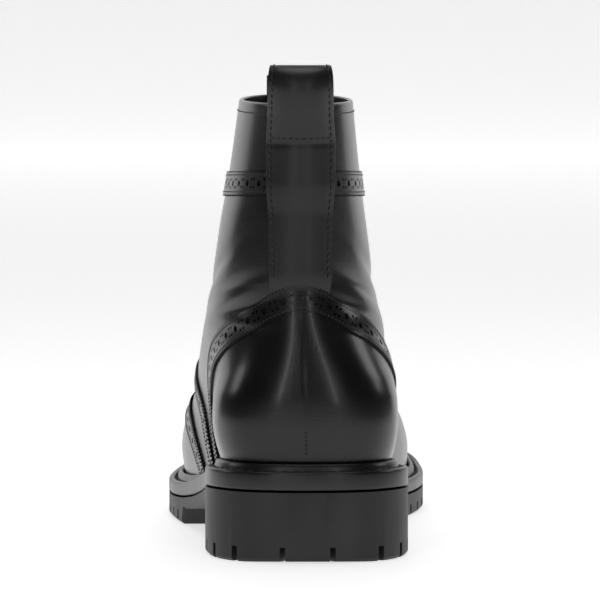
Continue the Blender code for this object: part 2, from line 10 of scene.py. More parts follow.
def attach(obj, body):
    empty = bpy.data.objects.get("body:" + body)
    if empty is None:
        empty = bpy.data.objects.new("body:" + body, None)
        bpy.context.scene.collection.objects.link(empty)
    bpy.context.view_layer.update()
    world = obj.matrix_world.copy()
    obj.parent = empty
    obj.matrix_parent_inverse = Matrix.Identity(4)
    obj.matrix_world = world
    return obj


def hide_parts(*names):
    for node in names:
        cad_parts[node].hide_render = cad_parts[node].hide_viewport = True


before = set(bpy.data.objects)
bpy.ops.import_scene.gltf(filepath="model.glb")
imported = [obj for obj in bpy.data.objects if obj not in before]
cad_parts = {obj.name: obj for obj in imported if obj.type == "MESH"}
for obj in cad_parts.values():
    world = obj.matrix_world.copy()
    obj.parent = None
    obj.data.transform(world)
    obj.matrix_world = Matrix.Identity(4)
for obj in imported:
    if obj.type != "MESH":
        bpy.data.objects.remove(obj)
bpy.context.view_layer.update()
rng = random.Random(7)

MM = 0.001
XS, YS = 2.55, -152.5
WALL = 2.0
SOLE_LENGTH = 305.0
FEATHER_IN = 7.2
SHAFT_LEAN = (-1.6, -0.026)

# ------------------------------------------------------------------ the shoe's own tables (mm)
OUTLINE = [
    # y,     x_lat,  x_med
    (0.0,    -1.0,    1.0), (1.2,   -13.0,   14.5), (5.0,   -23.5,   25.5), (12.0,  -31.5,   33.5),
    (24.0,  -37.5,   39.5), (42.0,  -40.0,   41.5), (62.0,  -40.0,   39.5), (82.0,  -40.5,   35.5),
    (104.0, -43.0,   31.5), (128.0, -47.0,   31.5), (152.0, -51.5,   36.5), (176.0, -55.5,   43.5),
    (200.0, -57.6,   49.5), (222.0, -56.5,   52.4), (244.0, -52.5,   52.0), (262.0, -46.0,   49.5),
    (278.0, -37.0,   43.5), (290.0, -26.5,   35.5), (298.5, -14.0,   26.0), (303.4,   -2.0,  15.5),
    (305.0,    6.5,   7.5)]
SOLE_SIDE = [
    # y,     z_top, z_joint, z_tread, z_web
    (0.0,    36.0,  28.5,    0.6,     6.0), (8.0,    36.0,  28.5,    0.0,     6.0),
    (40.0,   35.0,  27.5,    0.0,     6.0), (72.0,   31.5,  24.2,    0.0,     6.0),
    (100.0,  26.0,  19.2,    0.0,    13.0), (130.0,  20.5,  14.3,    0.0,     8.5),
    (160.0,  17.0,  11.2,    0.0,     5.4), (190.0,  15.6,  10.0,    0.0,     4.6),
    (215.0,  15.6,  10.0,    0.0,     4.6), (240.0,  16.6,  10.9,    0.5,     5.0),
    (270.0,  20.0,  14.2,    3.4,     7.8), (305.0,  25.5,  19.6,    9.0,    13.4)]
RINGS = [
    # back y, z, front y, z, sag, mix, k_heel, k_fore, w_lat, w_med, s_max, p_back, p_front
    (7.6, 36.3, 297.0, 24.9, 1.00, 0.00, 1.00, 1.000, 40.0, 38.0, 0.40, 2.1, 2.0),
    (5.6, 45.6, 298.8, 33.4, 0.86, 0.00, 1.08, 1.010, 40.0, 38.0, 0.40, 2.1, 2.0),
    (4.8, 55.2, 296.0, 41.7, 0.66, 0.06, 1.13, 0.970, 41.0, 43.5, 0.40, 2.1, 2.0),
    (5.0, 63.9, 287.0, 48.4, 0.48, 0.20, 1.14, 0.880, 41.5, 46.5, 0.40, 2.1, 2.0),
    (5.8, 71.5, 268.0, 54.1, 0.32, 0.40, 1.12, 0.780, 41.0, 46.0, 0.42, 2.1, 2.0),
    (7.0, 79.2, 240.0, 60.4, 0.16, 0.62, 1.06, 0.700, 40.2, 42.6, 0.42, 2.1, 2.0),
    (8.4, 87.4, 212.0, 69.6, 0.05, 0.82, 1.00, 0.640, 38.8, 38.2, 0.42, 2.1, 2.0),
    (9.8, 97.5, 186.0, 82.6, 0.00, 1.00, 0.90, 0.600, 36.8, 34.6, 0.42, 2.1, 2.0),
    (10.8, 109.5, 165.5, 97.0, 0.00, 1.00, 0.90, 0.600, 34.7, 31.3, 0.44, 2.1, 2.0),
    (11.4, 122.4, 150.5, 112.8, 0.00, 1.00, 0.90, 0.600, 33.0, 30.0, 0.46, 2.1, 2.1),
    (11.6, 136.3, 141.5, 129.2, 0.00, 1.00, 0.90, 0.600, 30.7, 28.2, 0.48, 2.1, 2.1),
    (11.6, 151.2, 136.8, 146.0, 0.00, 1.00, 0.90, 0.600, 27.5, 26.4, 0.50, 2.1, 2.1),
    (11.2, 166.1, 135.0, 163.7, 0.00, 1.00, 0.90, 0.600, 25.0, 24.6, 0.50, 2.1, 2.1),
    (10.8, 180.0, 134.6, 181.0, 0.00, 1.00, 0.90, 0.600, 23.0, 23.0, 0.50, 2.1, 2.1)]


def hermite(xs, ys, x):
    n = len(xs)
    x = min(max(x, xs[0]), xs[-1])
    i = min(max(int(np.searchsorted(xs, x)) - 1, 0), n - 2)
    d = [(ys[k + 1] - ys[k]) / (xs[k + 1] - xs[k]) for k in range(n - 1)]

    def slope(k):
        if k == 0:
            return d[0]
        if k == n - 1:
            return d[-1]
        if d[k - 1] * d[k] <= 0:
            return 0.0
        return 2 * d[k - 1] * d[k] / (d[k - 1] + d[k])
    h = xs[i + 1] - xs[i]
    t = (x - xs[i]) / h
    a, b = slope(i) * h, slope(i + 1) * h
    return ((2 * t**3 - 3 * t**2 + 1) * ys[i] + (t**3 - 2 * t**2 + t) * a
            + (-2 * t**3 + 3 * t**2) * ys[i + 1] + (t**3 - t**2) * b)


def column(table, k):
    return [r[k] for r in table]


# dense copies of the tables, so that thousands of points are quick to place
DY = np.linspace(0, 305, 1221)
SIDE = {k: np.array([hermite(column(SOLE_SIDE, 0), column(SOLE_SIDE, k), y) for y in DY]) for k in (1, 2, 3, 4)}
DV = np.linspace(0, 1, 1041)
_idx = list(range(len(RINGS)))
RING = np.array([[hermite(_idx, column(RINGS, k), v * (len(RINGS) - 1)) for k in range(13)] for v in DV])
# soften the rows a little so the leather shows no bands
for _ in range(3):
    R2 = RING.copy()
    k = 14
    pad = np.vstack([2 * RING[0] - RING[k:0:-1], RING, 2 * RING[-1] - RING[-2:-k - 2:-1]])
    R2 = np.array([np.convolve(pad[:, c], np.ones(2 * k + 1) / (2 * k + 1), 'valid') for c in range(13)]).T
    w = np.minimum(1, np.minimum(DV, 1 - DV) / 0.03)[:, None]
    RING = RING * (1 - w) + R2 * w


def z_top(y):
    return np.interp(y, DY, SIDE[1])


def z_joint(y):
    return np.interp(y, DY, SIDE[2])


def z_tread(y):
    return np.interp(y, DY, SIDE[3])


def z_web(y):
    return np.interp(y, DY, SIDE[4])


def edge(count):
    rows = [(r[1], r[0]) for r in OUTLINE] + [(r[2], r[0]) for r in reversed(OUTLINE)]
    p = np.array(rows)
    n = len(p)
    dense = []
    for i in range(n):
        a, b, c, d = p[i - 1], p[i], p[(i + 1) % n], p[(i + 2) % n]
        ta = np.linalg.norm(b - a) ** 0.5
        tb = ta + np.linalg.norm(c - b) ** 0.5
        tc = tb + np.linalg.norm(d - c) ** 0.5
        for u in np.linspace(ta, tb, 24, endpoint=False):
            a1 = a * (ta - u) / ta + b * u / ta
            a2 = b * (tb - u) / (tb - ta) + c * (u - ta) / (tb - ta)
            a3 = c * (tc - u) / (tc - tb) + d * (u - tb) / (tc - tb)
            b1 = a1 * (tb - u) / tb + a2 * u / tb
            b2 = a2 * (tc - u) / (tc - ta) + a3 * (u - ta) / (tc - ta)
            dense.append(b1 * (tb - u) / (tb - ta) + b2 * (u - ta) / (tb - ta))
    dense = np.array(dense)
    loop = np.vstack([dense, dense[:1]])
    s = np.concatenate([[0], np.cumsum(np.linalg.norm(np.diff(loop, axis=0), axis=1))])
    q = np.linspace(0, s[-1], count, endpoint=False)
    return np.stack([np.interp(q, s, loop[:, 0]), np.interp(q, s, loop[:, 1])], 1)


def inset(loop, d):
    t = np.roll(loop, -1, 0) - np.roll(loop, 1, 0)
    t /= np.linalg.norm(t, axis=1)[:, None]
    nrm = np.stack([t[:, 1], -t[:, 0]], 1)
    centre = loop.mean(0)
    if np.sum(nrm * (centre - loop)) < 0:
        nrm = -nrm
    return loop + nrm * d


def half_width_of(loop):
    lo, hi = int(np.argmin(loop[:, 1])), int(np.argmax(loop[:, 1]))
    n = len(loop)

    def walk(i, j):
        k, out = i, [loop[i]]
        while k != j:
            k = (k + 1) % n
            out.append(loop[k])
        return np.array(out)
    a, b = walk(lo, hi), walk(hi, lo)[::-1]
    lat, med = (a, b) if a[:, 0].mean() < b[:, 0].mean() else (b, a)
    return (lambda y: np.interp(y, lat[:, 1], lat[:, 0]),
            lambda y: np.interp(y, med[:, 1], med[:, 0]),
            float(loop[:, 1].min()), float(loop[:, 1].max()))


EDGE = edge(1440)
FULL = half_width_of(EDGE)
FEATHER = half_width_of(inset(EDGE, FEATHER_IN))


def surf(theta, v, raise_v=None):
    """Outer face of the upper for arrays of theta (0 back, pi front) and v (0 feather, 1 collar)."""
    theta = np.asarray(theta, float)
    v = np.asarray(v, float)
    theta, v = np.broadcast_arrays(theta, v)
    vc = np.clip(v, 0, 1)
    r = [np.interp(vc, DV, RING[:, c]) for c in range(13)]
    yb, zb, yf, zf, sag, mix, kh, kf, wl, wm, sm, pb, pf = r
    s = 0.5 * (1 - np.cos(theta))
    lateral = np.sin(theta) >= 0
    lat, med, y0, y1 = FEATHER
    y = yb + (yf - yb) * s
    yfe = y0 + (y1 - y0) * s
    chord0 = z_top(y0) + (z_top(y1) - z_top(y0)) * s
    z = zb + (zf - zb) * s - sag * (chord0 - z_top(yfe))
    z = z + np.where(v > 1, (v - 1) * 185.0, 0) + np.where(v < 0, v * 120.0, 0)
    la, me = lat(yfe), med(yfe)
    mid0 = 0.5 * (la + me)
    base = np.abs(np.where(lateral, la, me) - mid0)
    k = kh + (kf - kh) * (s * s * (3 - 2 * s))
    w = np.where(lateral, wl, wm)
    gb = np.maximum(0, 1 - np.maximum(0, (sm - s) / sm) ** pb) ** (1 / pb)
    gf = np.maximum(0, 1 - np.maximum(0, (s - sm) / (1 - sm)) ** pf) ** (1 / pf)
    g = np.where(s < sm, gb, gf)
    half = (1 - mix) * base * k + mix * w * g
    yy = np.clip(yfe * (1 - mix) + y * mix, y0 + 0.5, y1 - 0.5)
    mid = 0.5 * (lat(yy) + med(yy))
    keep = np.maximum(0.0, 1.0 - vc / 0.62) ** 0.7
    ax = mid * keep + (SHAFT_LEAN[0] + SHAFT_LEAN[1] * (yfe * (1 - mix) + y * mix)) * (1 - keep)
    x = ax + np.where(lateral, -half, half)
    return np.stack([x, y, z], -1)


def surf_n(theta, v):
    e = 0.006
    theta, v = np.broadcast_arrays(np.asarray(theta, float), np.asarray(v, float))
    a = surf(theta + e, v) - surf(theta - e, v)
    b = surf(theta, np.minimum(1.0, v + e)) - surf(theta, np.maximum(0.0, v - e))
    n = np.cross(b, a)
    return n / np.maximum(1e-9, np.linalg.norm(n, axis=-1, keepdims=True))


def at(theta, v, h=0.0):
    h = np.asarray(h, float)
    return surf(theta, v) + surf_n(theta, v) * h[..., None]


def nearest(p, th, v, steps=3):
    """Moves (th, v) so that the surface point there is the one nearest to p."""
    th, v = np.array(th, float), np.array(v, float)
    e = 0.004
    for _ in range(steps):
        s0 = surf(th, v)
        a = (surf(th + e, v) - surf(th - e, v)) / (2 * e)
        b = (surf(th, v + e) - surf(th, v - e)) / (2 * e)
        d = p - s0
        aa, ab, bb = (a * a).sum(-1), (a * b).sum(-1), (b * b).sum(-1)
        da, db = (d * a).sum(-1), (d * b).sum(-1)
        det = np.maximum(1e-6, aa * bb - ab * ab)
        th = th + np.clip((da * bb - db * ab) / det, -0.12, 0.12)
        v = np.clip(v + np.clip((db * aa - da * ab) / det, -0.08, 0.08), -0.03, 1.02)
    return th, v


_gs, _gv = np.meshgrid(np.linspace(0.0, math.pi, 361), np.linspace(0, 1, 361), indexing='ij')
_glat = surf(_gs, _gv)
_gmed = surf(2 * math.pi - _gs, _gv)


def locate(side, y, z):
    """(theta, v) of the point that shows at (y, z) in the side view, side 'lat' or 'med'."""
    g = _glat if side == 'lat' else _gmed
    d = (g[..., 1] - y) ** 2 + (g[..., 2] - z) ** 2
    i = np.unravel_index(int(np.argmin(d)), d.shape)
    th = _gs[i] if side == 'lat' else 2 * math.pi - _gs[i]
    return float(th), float(_gv[i])


def smooth_curve(pts, step=1.0, closed=False):
    """Even points along a smooth curve through (y, z) or other rows."""
    p = np.array(pts, float)
    n = len(p)
    out = []
    rng_i = range(n) if closed else range(n - 1)
    for i in rng_i:
        a = p[(i - 1) % n] if (closed or i > 0) else 2 * p[0] - p[1]
        b, c = p[i], p[(i + 1) % n]
        d = p[(i + 2) % n] if (closed or i < n - 2) else 2 * p[-1] - p[-2]
        for u in np.linspace(0, 1, 24, endpoint=False):
            out.append(0.5 * ((2 * b) + (-a + c) * u + (2 * a - 5 * b + 4 * c - d) * u * u
                              + (-a + 3 * b - 3 * c + d) * u ** 3))
    if not closed:
        out.append(p[-1])
    return np.array(out)


def resample(P, step):
    """Even spacing along a 3D polyline; returns the arc length at each new point, the points and the total length."""
    s = np.concatenate([[0], np.cumsum(np.linalg.norm(np.diff(P, axis=0), axis=1))])
    n = max(2, int(round(s[-1] / step)) + 1)
    q = np.linspace(0, s[-1], n)
    return q, np.stack([np.interp(q, s, P[:, c]) for c in range(P.shape[1])], 1), s[-1]


# ------------------------------------------------------------------ materials
def new_mat(name):
    m = bpy.data.materials.new(name)
    m.use_nodes = True
    nt = m.node_tree
    nt.nodes.clear()
    out = nt.nodes.new("ShaderNodeOutputMaterial")
    b = nt.nodes.new("ShaderNodeBsdfPrincipled")
    nt.links.new(b.outputs[0], out.inputs[0])
    return m, nt, b


def node(nt, kind, **kw):
    n = nt.nodes.new(kind)
    for k, v in kw.items():
        if k.startswith("in_"):
            key = k[3:]
            key = int(key) if key.isdigit() else key.replace("_", " ")
            n.inputs[key].default_value = v
        else:
            setattr(n, k, v)
    return n


def coords(nt, scale=1.0):
    tc = node(nt, "ShaderNodeTexCoord")
    mp = node(nt, "ShaderNodeMapping")
    mp.inputs["Scale"].default_value = (scale, scale, scale)
    nt.links.new(tc.outputs["Object"], mp.inputs[0])
    return mp.outputs[0]


def ramp(nt, fac, stops):
    r = node(nt, "ShaderNodeValToRGB")
    els = r.color_ramp.elements
    while len(els) > 1:
        els.remove(els[-1])
    els[0].position, els[0].color = stops[0][0], (*stops[0][1], 1)
    for pos, col in stops[1:]:
        e = els.new(pos)
        e.color = (*col, 1)
    nt.links.new(fac, r.inputs[0])
    return r.outputs[0]


def leather(name, base=(0.0035, 0.0037, 0.0043), rough=(0.2, 0.32), grain=0.10, coat=0.12, coat_rough=0.12,
            lift=(0.0065, 0.0068, 0.0078)):
    m, nt, b = new_mat(name)
    co = coords(nt)
    big = node(nt, "ShaderNodeTexNoise", in_Scale=38.0, in_Detail=3.0)
    nt.links.new(co, big.inputs["Vector"])
    fine = node(nt, "ShaderNodeTexNoise", in_Scale=2600.0, in_Detail=4.0, in_Roughness=0.6)
    nt.links.new(co, fine.inputs["Vector"])
    pores = node(nt, "ShaderNodeTexVoronoi", in_Scale=1500.0)
    nt.links.new(co, pores.inputs["Vector"])
    nt.links.new(ramp(nt, big.outputs[0], [(0.3, base), (0.72, lift)]), b.inputs["Base Color"])
    mr = node(nt, "ShaderNodeMapRange")
    mr.inputs["To Min"].default_value, mr.inputs["To Max"].default_value = rough
    mixr = node(nt, "ShaderNodeMix", data_type='FLOAT')
    mixr.inputs[0].default_value = 0.35
    nt.links.new(big.outputs[0], mixr.inputs[2])
    nt.links.new(fine.outputs[0], mixr.inputs[3])
    nt.links.new(mixr.outputs[0], mr.inputs[0])
    nt.links.new(mr.outputs[0], b.inputs["Roughness"])
    bump1 = node(nt, "ShaderNodeBump", in_Strength=grain, in_Distance=0.00025)
    nt.links.new(pores.outputs["Distance"], bump1.inputs["Height"])
    bump2 = node(nt, "ShaderNodeBump", in_Strength=grain * 0.9, in_Distance=0.0002)
    nt.links.new(fine.outputs[0], bump2.inputs["Height"])
    nt.links.new(bump1.outputs[0], bump2.inputs["Normal"])
    bump3 = node(nt, "ShaderNodeBump", in_Strength=0.10, in_Distance=0.0012)
    nt.links.new(big.outputs[0], bump3.inputs["Height"])
    nt.links.new(bump2.outputs[0], bump3.inputs["Normal"])
    nt.links.new(bump3.outputs[0], b.inputs["Normal"])
    b.inputs["Coat Weight"].default_value = coat
    b.inputs["Coat Roughness"].default_value = coat_rough
    b.inputs["Specular IOR Level"].default_value = 0.38
    return m


def rubber(name, base=(0.0095, 0.0100, 0.011), lift=(0.016, 0.0165, 0.018), rough=(0.42, 0.6), bump=0.25):
    m, nt, b = new_mat(name)
    co = coords(nt)
    big = node(nt, "ShaderNodeTexNoise", in_Scale=45.0, in_Detail=4.0)
    fine = node(nt, "ShaderNodeTexNoise", in_Scale=1900.0, in_Detail=3.0)
    for t in (big, fine):
        nt.links.new(co, t.inputs["Vector"])
    nt.links.new(ramp(nt, big.outputs[0], [(0.32, base), (0.7, lift)]), b.inputs["Base Color"])
    mr = node(nt, "ShaderNodeMapRange")
    mr.inputs["To Min"].default_value, mr.inputs["To Max"].default_value = rough
    nt.links.new(big.outputs[0], mr.inputs[0])
    nt.links.new(mr.outputs[0], b.inputs["Roughness"])
    bp = node(nt, "ShaderNodeBump", in_Strength=bump, in_Distance=0.0002)
    nt.links.new(fine.outputs[0], bp.inputs["Height"])
    nt.links.new(bp.outputs[0], b.inputs["Normal"])
    return m


def thread_mat(name, base=(0.012, 0.012, 0.013)):
    m, nt, b = new_mat(name)
    co = coords(nt)
    wv = node(nt, "ShaderNodeTexNoise", in_Scale=3500.0, in_Detail=2.0)
    nt.links.new(co, wv.inputs["Vector"])
    nt.links.new(ramp(nt, wv.outputs[0], [(0.3, base), (0.7, tuple(c * 2.0 for c in base))]), b.inputs["Base Color"])
    b.inputs["Roughness"].default_value = 0.55
    bp = node(nt, "ShaderNodeBump", in_Strength=0.4, in_Distance=0.00015)
    nt.links.new(wv.outputs[0], bp.inputs["Height"])
    nt.links.new(bp.outputs[0], b.inputs["Normal"])
    return m


def metal_mat(name):
    m, nt, b = new_mat(name)
    co = coords(nt)
    ns = node(nt, "ShaderNodeTexNoise", in_Scale=600.0, in_Detail=3.0)
    nt.links.new(co, ns.inputs["Vector"])
    nt.links.new(ramp(nt, ns.outputs[0], [(0.3, (0.035, 0.035, 0.04)), (0.7, (0.07, 0.07, 0.075))]), b.inputs["Base Color"])
    b.inputs["Metallic"].default_value = 1.0
    mr = node(nt, "ShaderNodeMapRange")
    mr.inputs["To Min"].default_value, mr.inputs["To Max"].default_value = 0.2, 0.36
    nt.links.new(ns.outputs[0], mr.inputs[0])
    nt.links.new(mr.outputs[0], b.inputs["Roughness"])
    return m


M_LEATHER = leather("black_calf")
M_PANEL = leather("black_calf_panel", rough=(0.22, 0.34), grain=0.12)
M_STRAP = leather("strap_leather", base=(0.006, 0.006, 0.007), lift=(0.010, 0.010, 0.0115), rough=(0.34, 0.46),
                  grain=0.2, coat=0.1, coat_rough=0.3)
M_LINING = leather("lining", base=(0.016, 0.016, 0.017), lift=(0.026, 0.026, 0.027), rough=(0.5, 0.65), grain=0.35,
                   coat=0.0)
M_RUBBER = rubber("sole_rubber")
M_WELT = rubber("welt_rubber", base=(0.006, 0.0062, 0.007), lift=(0.0105, 0.0108, 0.012), rough=(0.26, 0.4), bump=0.15)
M_THREAD = thread_mat("thread")
M_LACE = thread_mat("lace_cord", base=(0.009, 0.009, 0.0095))
M_METAL = metal_mat("gunmetal")


# ------------------------------------------------------------------ mesh makers
def W(p):
    p = np.asarray(p, float)
    return (p + np.array([XS, YS, 0.0])) * MM


PIECES = []


def make(name, verts, faces, mat, replaces=None, smooth=True, angle=38.0, mats=None, face_mat=None, weld=True):
    me = bpy.data.meshes.new(name)
    me.from_pydata([tuple(p) for p in W(verts)], [], [tuple(int(i) for i in f) for f in faces])
    me.materials.append(mat)
    for extra in mats or []:
        me.materials.append(extra)
    if face_mat is not None:
        for poly, k in zip(me.polygons, face_mat):
            poly.material_index = int(k)
    ob = bpy.data.objects.new(name, me)
    bpy.context.scene.collection.objects.link(ob)
    if weld:
        bm = bmesh.new()
        bm.from_mesh(me)
        bmesh.ops.remove_doubles(bm, verts=bm.verts, dist=2e-6)
        bmesh.ops.recalc_face_normals(bm, faces=bm.faces)
        bm.to_mesh(me)
        bm.free()
    if smooth:
        me.shade_smooth()
        me.set_sharp_from_angle(angle=math.radians(angle))
    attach(ob, "root")
    if replaces:
        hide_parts(*replaces)
    PIECES.append(ob)
    return ob


def grid_faces(r, c, wrap_c=False, wrap_r=False):
    f = []
    for i in range(r if wrap_r else r - 1):
        for j in range(c if wrap_c else c - 1):
            a = i * c + j
            b = i * c + (j + 1) % c
            d = ((i + 1) % r) * c + j
            e = ((i + 1) % r) * c + (j + 1) % c
            f.append((a, b, e, d))
    return f


def sheet_solid(P, N, thick, edge_soft=True):
    """Closed sheet from a grid P (r, c, 3) with normals N: top at P + N * thick, bottom at P, straight rim."""
    r, c = P.shape[:2]
    layers = [(0.0, 0.0), (0.72, 0.0), (1.0, 1.0)]
    top = P + N * thick
    V = np.concatenate([P.reshape(-1, 3), top.reshape(-1, 3)])
    k = r * c
    F = []
    for i in range(r - 1):
        for j in range(c - 1):
            a = i * c + j
            F.append((a, a + c, a + c + 1, a + 1))
            F.append((k + a, k + a + 1, k + a + c + 1, k + a + c))
    for j in range(c - 1):
        F.append((j, j + 1, k + j + 1, k + j))
        a = (r - 1) * c + j
        F.append((a, k + a, k + a + 1, a + 1))
    for i in range(r - 1):
        a = i * c
        F.append((a, k + a, k + a + c, a + c))
        a = i * c + c - 1
        F.append((a, a + c, k + a + c, k + a))
    return V, F


def relief(theta, v):
    """Soft creases of the worn-in leather, in mm along the normal."""
    out = np.zeros(np.broadcast(theta, v).shape)
    # theta centre, v centre, slope, length, width, depth
    for tc, vc, slope, length, width, depth in (
            (0.62, 0.560, -0.05, 0.34, 0.020, -0.75), (0.80, 0.610, -0.07, 0.30, 0.018, -0.6),
            (0.52, 0.520, 0.03, 0.30, 0.022, 0.5), (-0.60, 0.565, 0.05, 0.34, 0.020, -0.75),
            (-0.84, 0.615, 0.08, 0.30, 0.018, -0.6), (-0.50, 0.525, -0.03, 0.30, 0.024, 0.5),
            (1.35, 0.640, -0.12, 0.45, 0.022, -0.8), (-1.35, 0.640, 0.12, 0.45, 0.022, -0.8),
            (1.55, 0.585, -0.10, 0.40, 0.026, 0.5), (-1.55, 0.585, 0.10, 0.40, 0.026, 0.5),
            (2.35, 0.300, 0.10, 0.40, 0.030, -0.6), (-2.35, 0.300, -0.10, 0.40, 0.030, -0.6),
            (0.0, 0.600, 0.0, 0.30, 0.030, -0.35)):
        d = (np.asarray(theta) - tc + math.pi) % (2 * math.pi) - math.pi
        a = np.exp(-(d / length) ** 2)
        b = np.exp(-((v - vc - slope * d) / width) ** 2)
        out = out + depth * a * b
    # slow swell and hollow of the quarters
    out = out + 0.35 * np.sin(3.1 * np.asarray(theta) + 9.0 * np.asarray(v)) * np.clip(np.asarray(v) * 3, 0, 1) * np.clip((1 - np.asarray(v)) * 6, 0, 1)
    return out


_flat_surf = surf


def surf(theta, v):
    theta, v = np.broadcast_arrays(np.asarray(theta, float), np.asarray(v, float))
    e = 0.006
    a = _flat_surf(theta + e, v) - _flat_surf(theta - e, v)
    b = _flat_surf(theta, np.minimum(1.0, v + e)) - _flat_surf(theta, np.maximum(0.0, v - e))
    n = np.cross(b, a)
    n = n / np.maximum(1e-9, np.linalg.norm(n, axis=-1, keepdims=True))
    return _flat_surf(theta, v) + n * relief(theta, v)[..., None]


_TH = np.linspace(0, 2 * math.pi, 1201)
_VV = np.linspace(-0.03, 1.02, 631)
_GT, _GV = np.meshgrid(_TH, _VV, indexing='ij')
_GP = surf(_GT, _GV)
_dt = np.concatenate([_GP[1:], _GP[1:2]], 0) - np.concatenate([_GP[-2:-1], _GP[:-1]], 0)
_dt[0] = _GP[1] - _GP[-2]
_dt[-1] = _dt[0]
_GN = np.cross(np.gradient(_GP, axis=1), _dt)
_GN /= np.maximum(1e-9, np.linalg.norm(_GN, axis=-1, keepdims=True))


def _look(G, theta, v):
    theta, v = np.broadcast_arrays(np.asarray(theta, float), np.asarray(v, float))
    x = (theta % (2 * math.pi)) / (2 * math.pi) * 1200
    y = (np.clip(v, -0.03, 1.02) + 0.03) / 1.05 * 630
    i, j = np.minimum(x.astype(int), 1199), np.minimum(y.astype(int), 629)
    a, b = (x - i)[..., None], (y - j)[..., None]
    return (G[i, j] * (1 - a) * (1 - b) + G[i + 1, j] * a * (1 - b) + G[i, j + 1] * (1 - a) * b + G[i + 1, j + 1] * a * b)


def surf(theta, v):
    return _look(_GP, theta, v)


def surf_n(theta, v):
    n = _look(_GN, theta, v)
    return n / np.maximum(1e-9, np.linalg.norm(n, axis=-1, keepdims=True))


def side_theta(x_off, v, front):
    """theta of the points x_off mm across from the back (front=False) or front ridge."""
    x_off, v = np.broadcast_arrays(np.asarray(x_off, float), np.asarray(v, float))
    c = math.pi if front else 0.0
    x = x_off + (_flat_surf(np.full(v.shape, c), v)[..., 0] if front else 0.0)
    lo, hi = np.full(v.shape, c - 1.2), np.full(v.shape, c + 1.2)
    for _ in range(36):
        m = 0.5 * (lo + hi)
        low = _flat_surf(m, v)[..., 0] < x
        if not front:
            low = ~low
        lo = np.where(low, m, lo)
        hi = np.where(low, hi, m)
    return 0.5 * (lo + hi)


# ------------------------------------------------------------------ upper shell with its throat
V_THROAT = 0.478
THROAT_HALF = 8.0


def throat_half(v):
    t = np.clip((v - V_THROAT) / 0.035, 0, 1)
    return THROAT_HALF * np.sqrt(np.maximum(0, 1 - (1 - t) ** 2))


def build_upper():
    vs = np.unique(np.concatenate([np.linspace(0, V_THROAT, 62), V_THROAT + 0.035 * (1 - np.cos(np.linspace(0, math.pi / 2, 10))),
                                   np.linspace(V_THROAT + 0.035, 1, 76)]))
    cols = 300
    u = np.linspace(0, 1, cols)
    hw = throat_half(vs)
    a = side_theta(hw - 5.6 - _flat_surf(np.full(vs.shape, math.pi), vs)[:, 0], vs, True)
    b = side_theta(-hw - 5.6 - _flat_surf(np.full(vs.shape, math.pi), vs)[:, 0], vs, True)
    shut = hw <= 1e-9
    a = np.where(shut, math.pi, a)
    b = np.where(shut, math.pi, b)
    th = a[:, None] + (b + 2 * math.pi - a)[:, None] * u[None, :]
    vv = np.repeat(vs[:, None], cols, 1)
    outer = surf(th, vv)
    nrm = surf_n(th, vv)
    up = surf(th[-1], np.ones(cols)) - surf(th[-1], np.full(cols, 0.985))
    up /= np.linalg.norm(up, axis=1)[:, None]
    rows = [outer[i] for i in range(len(vs))]
    r = WALL / 2
    for ang in np.linspace(0, math.pi, 7)[1:-1]:
        rows.append(outer[-1] - nrm[-1] * (r - r * math.cos(ang)) + up * (r * math.sin(ang)))
    n_out = len(rows)
    inner_v = vs[::-2]
    th_i = th[::-2]
    inn = surf(th_i, np.repeat(inner_v[:, None], cols, 1)) - nrm[::-2] * WALL
    for i in range(len(inner_v)):
        rows.append(inn[i])
    G = np.array(rows)
    V = G.reshape(-1, 3)
    F = grid_faces(len(rows), cols)
    # join the sheet's ends along the throat, and the foot of the shell
    def idx(i, j):
        return i * cols + j
    open_rows = [i for i in range(len(vs)) if not shut[i]]
    for col in (0, cols - 1):
        inner_of = {}
        for k, vi in enumerate(inner_v):
            inner_of[round(float(vi), 6)] = n_out + k
        outs = [i for i in range(len(vs)) if vs[i] >= V_THROAT - 1e-9]
        # pair outer rows with the nearest inner row by level
        def inner_row(v):
            k = int(np.argmin(np.abs(inner_v - v)))
            return n_out + k
        for i in outs[:-1]:
            p, q = inner_row(vs[i]), inner_row(vs[i + 1])
            if p == q:
                F.append((idx(i, col), idx(i + 1, col), idx(p, col)))
            else:
                F.append((idx(i, col), idx(i + 1, col), idx(q, col), idx(p, col)))
        # close the rounded collar's end
        F.append(tuple([idx(len(vs) - 1 + k, col) for k in range(n_out - len(vs) + 2)]))
    last = len(rows) - 1
    for j in range(cols - 1):
        F.append((idx(0, j), idx(0, j + 1), idx(last, j + 1), idx(last, j)))
    n_grid_outer = (n_out - 1) * (cols - 1)
    fm = [0 if k < n_grid_outer else 1 for k in range((len(rows) - 1) * (cols - 1))] + [0] * (len(F) - (len(rows) - 1) * (cols - 1))
    make("upper_leather", V, F, M_LEATHER, ["upper"], mats=[M_LINING], face_mat=fm, angle=50)


build_upper()


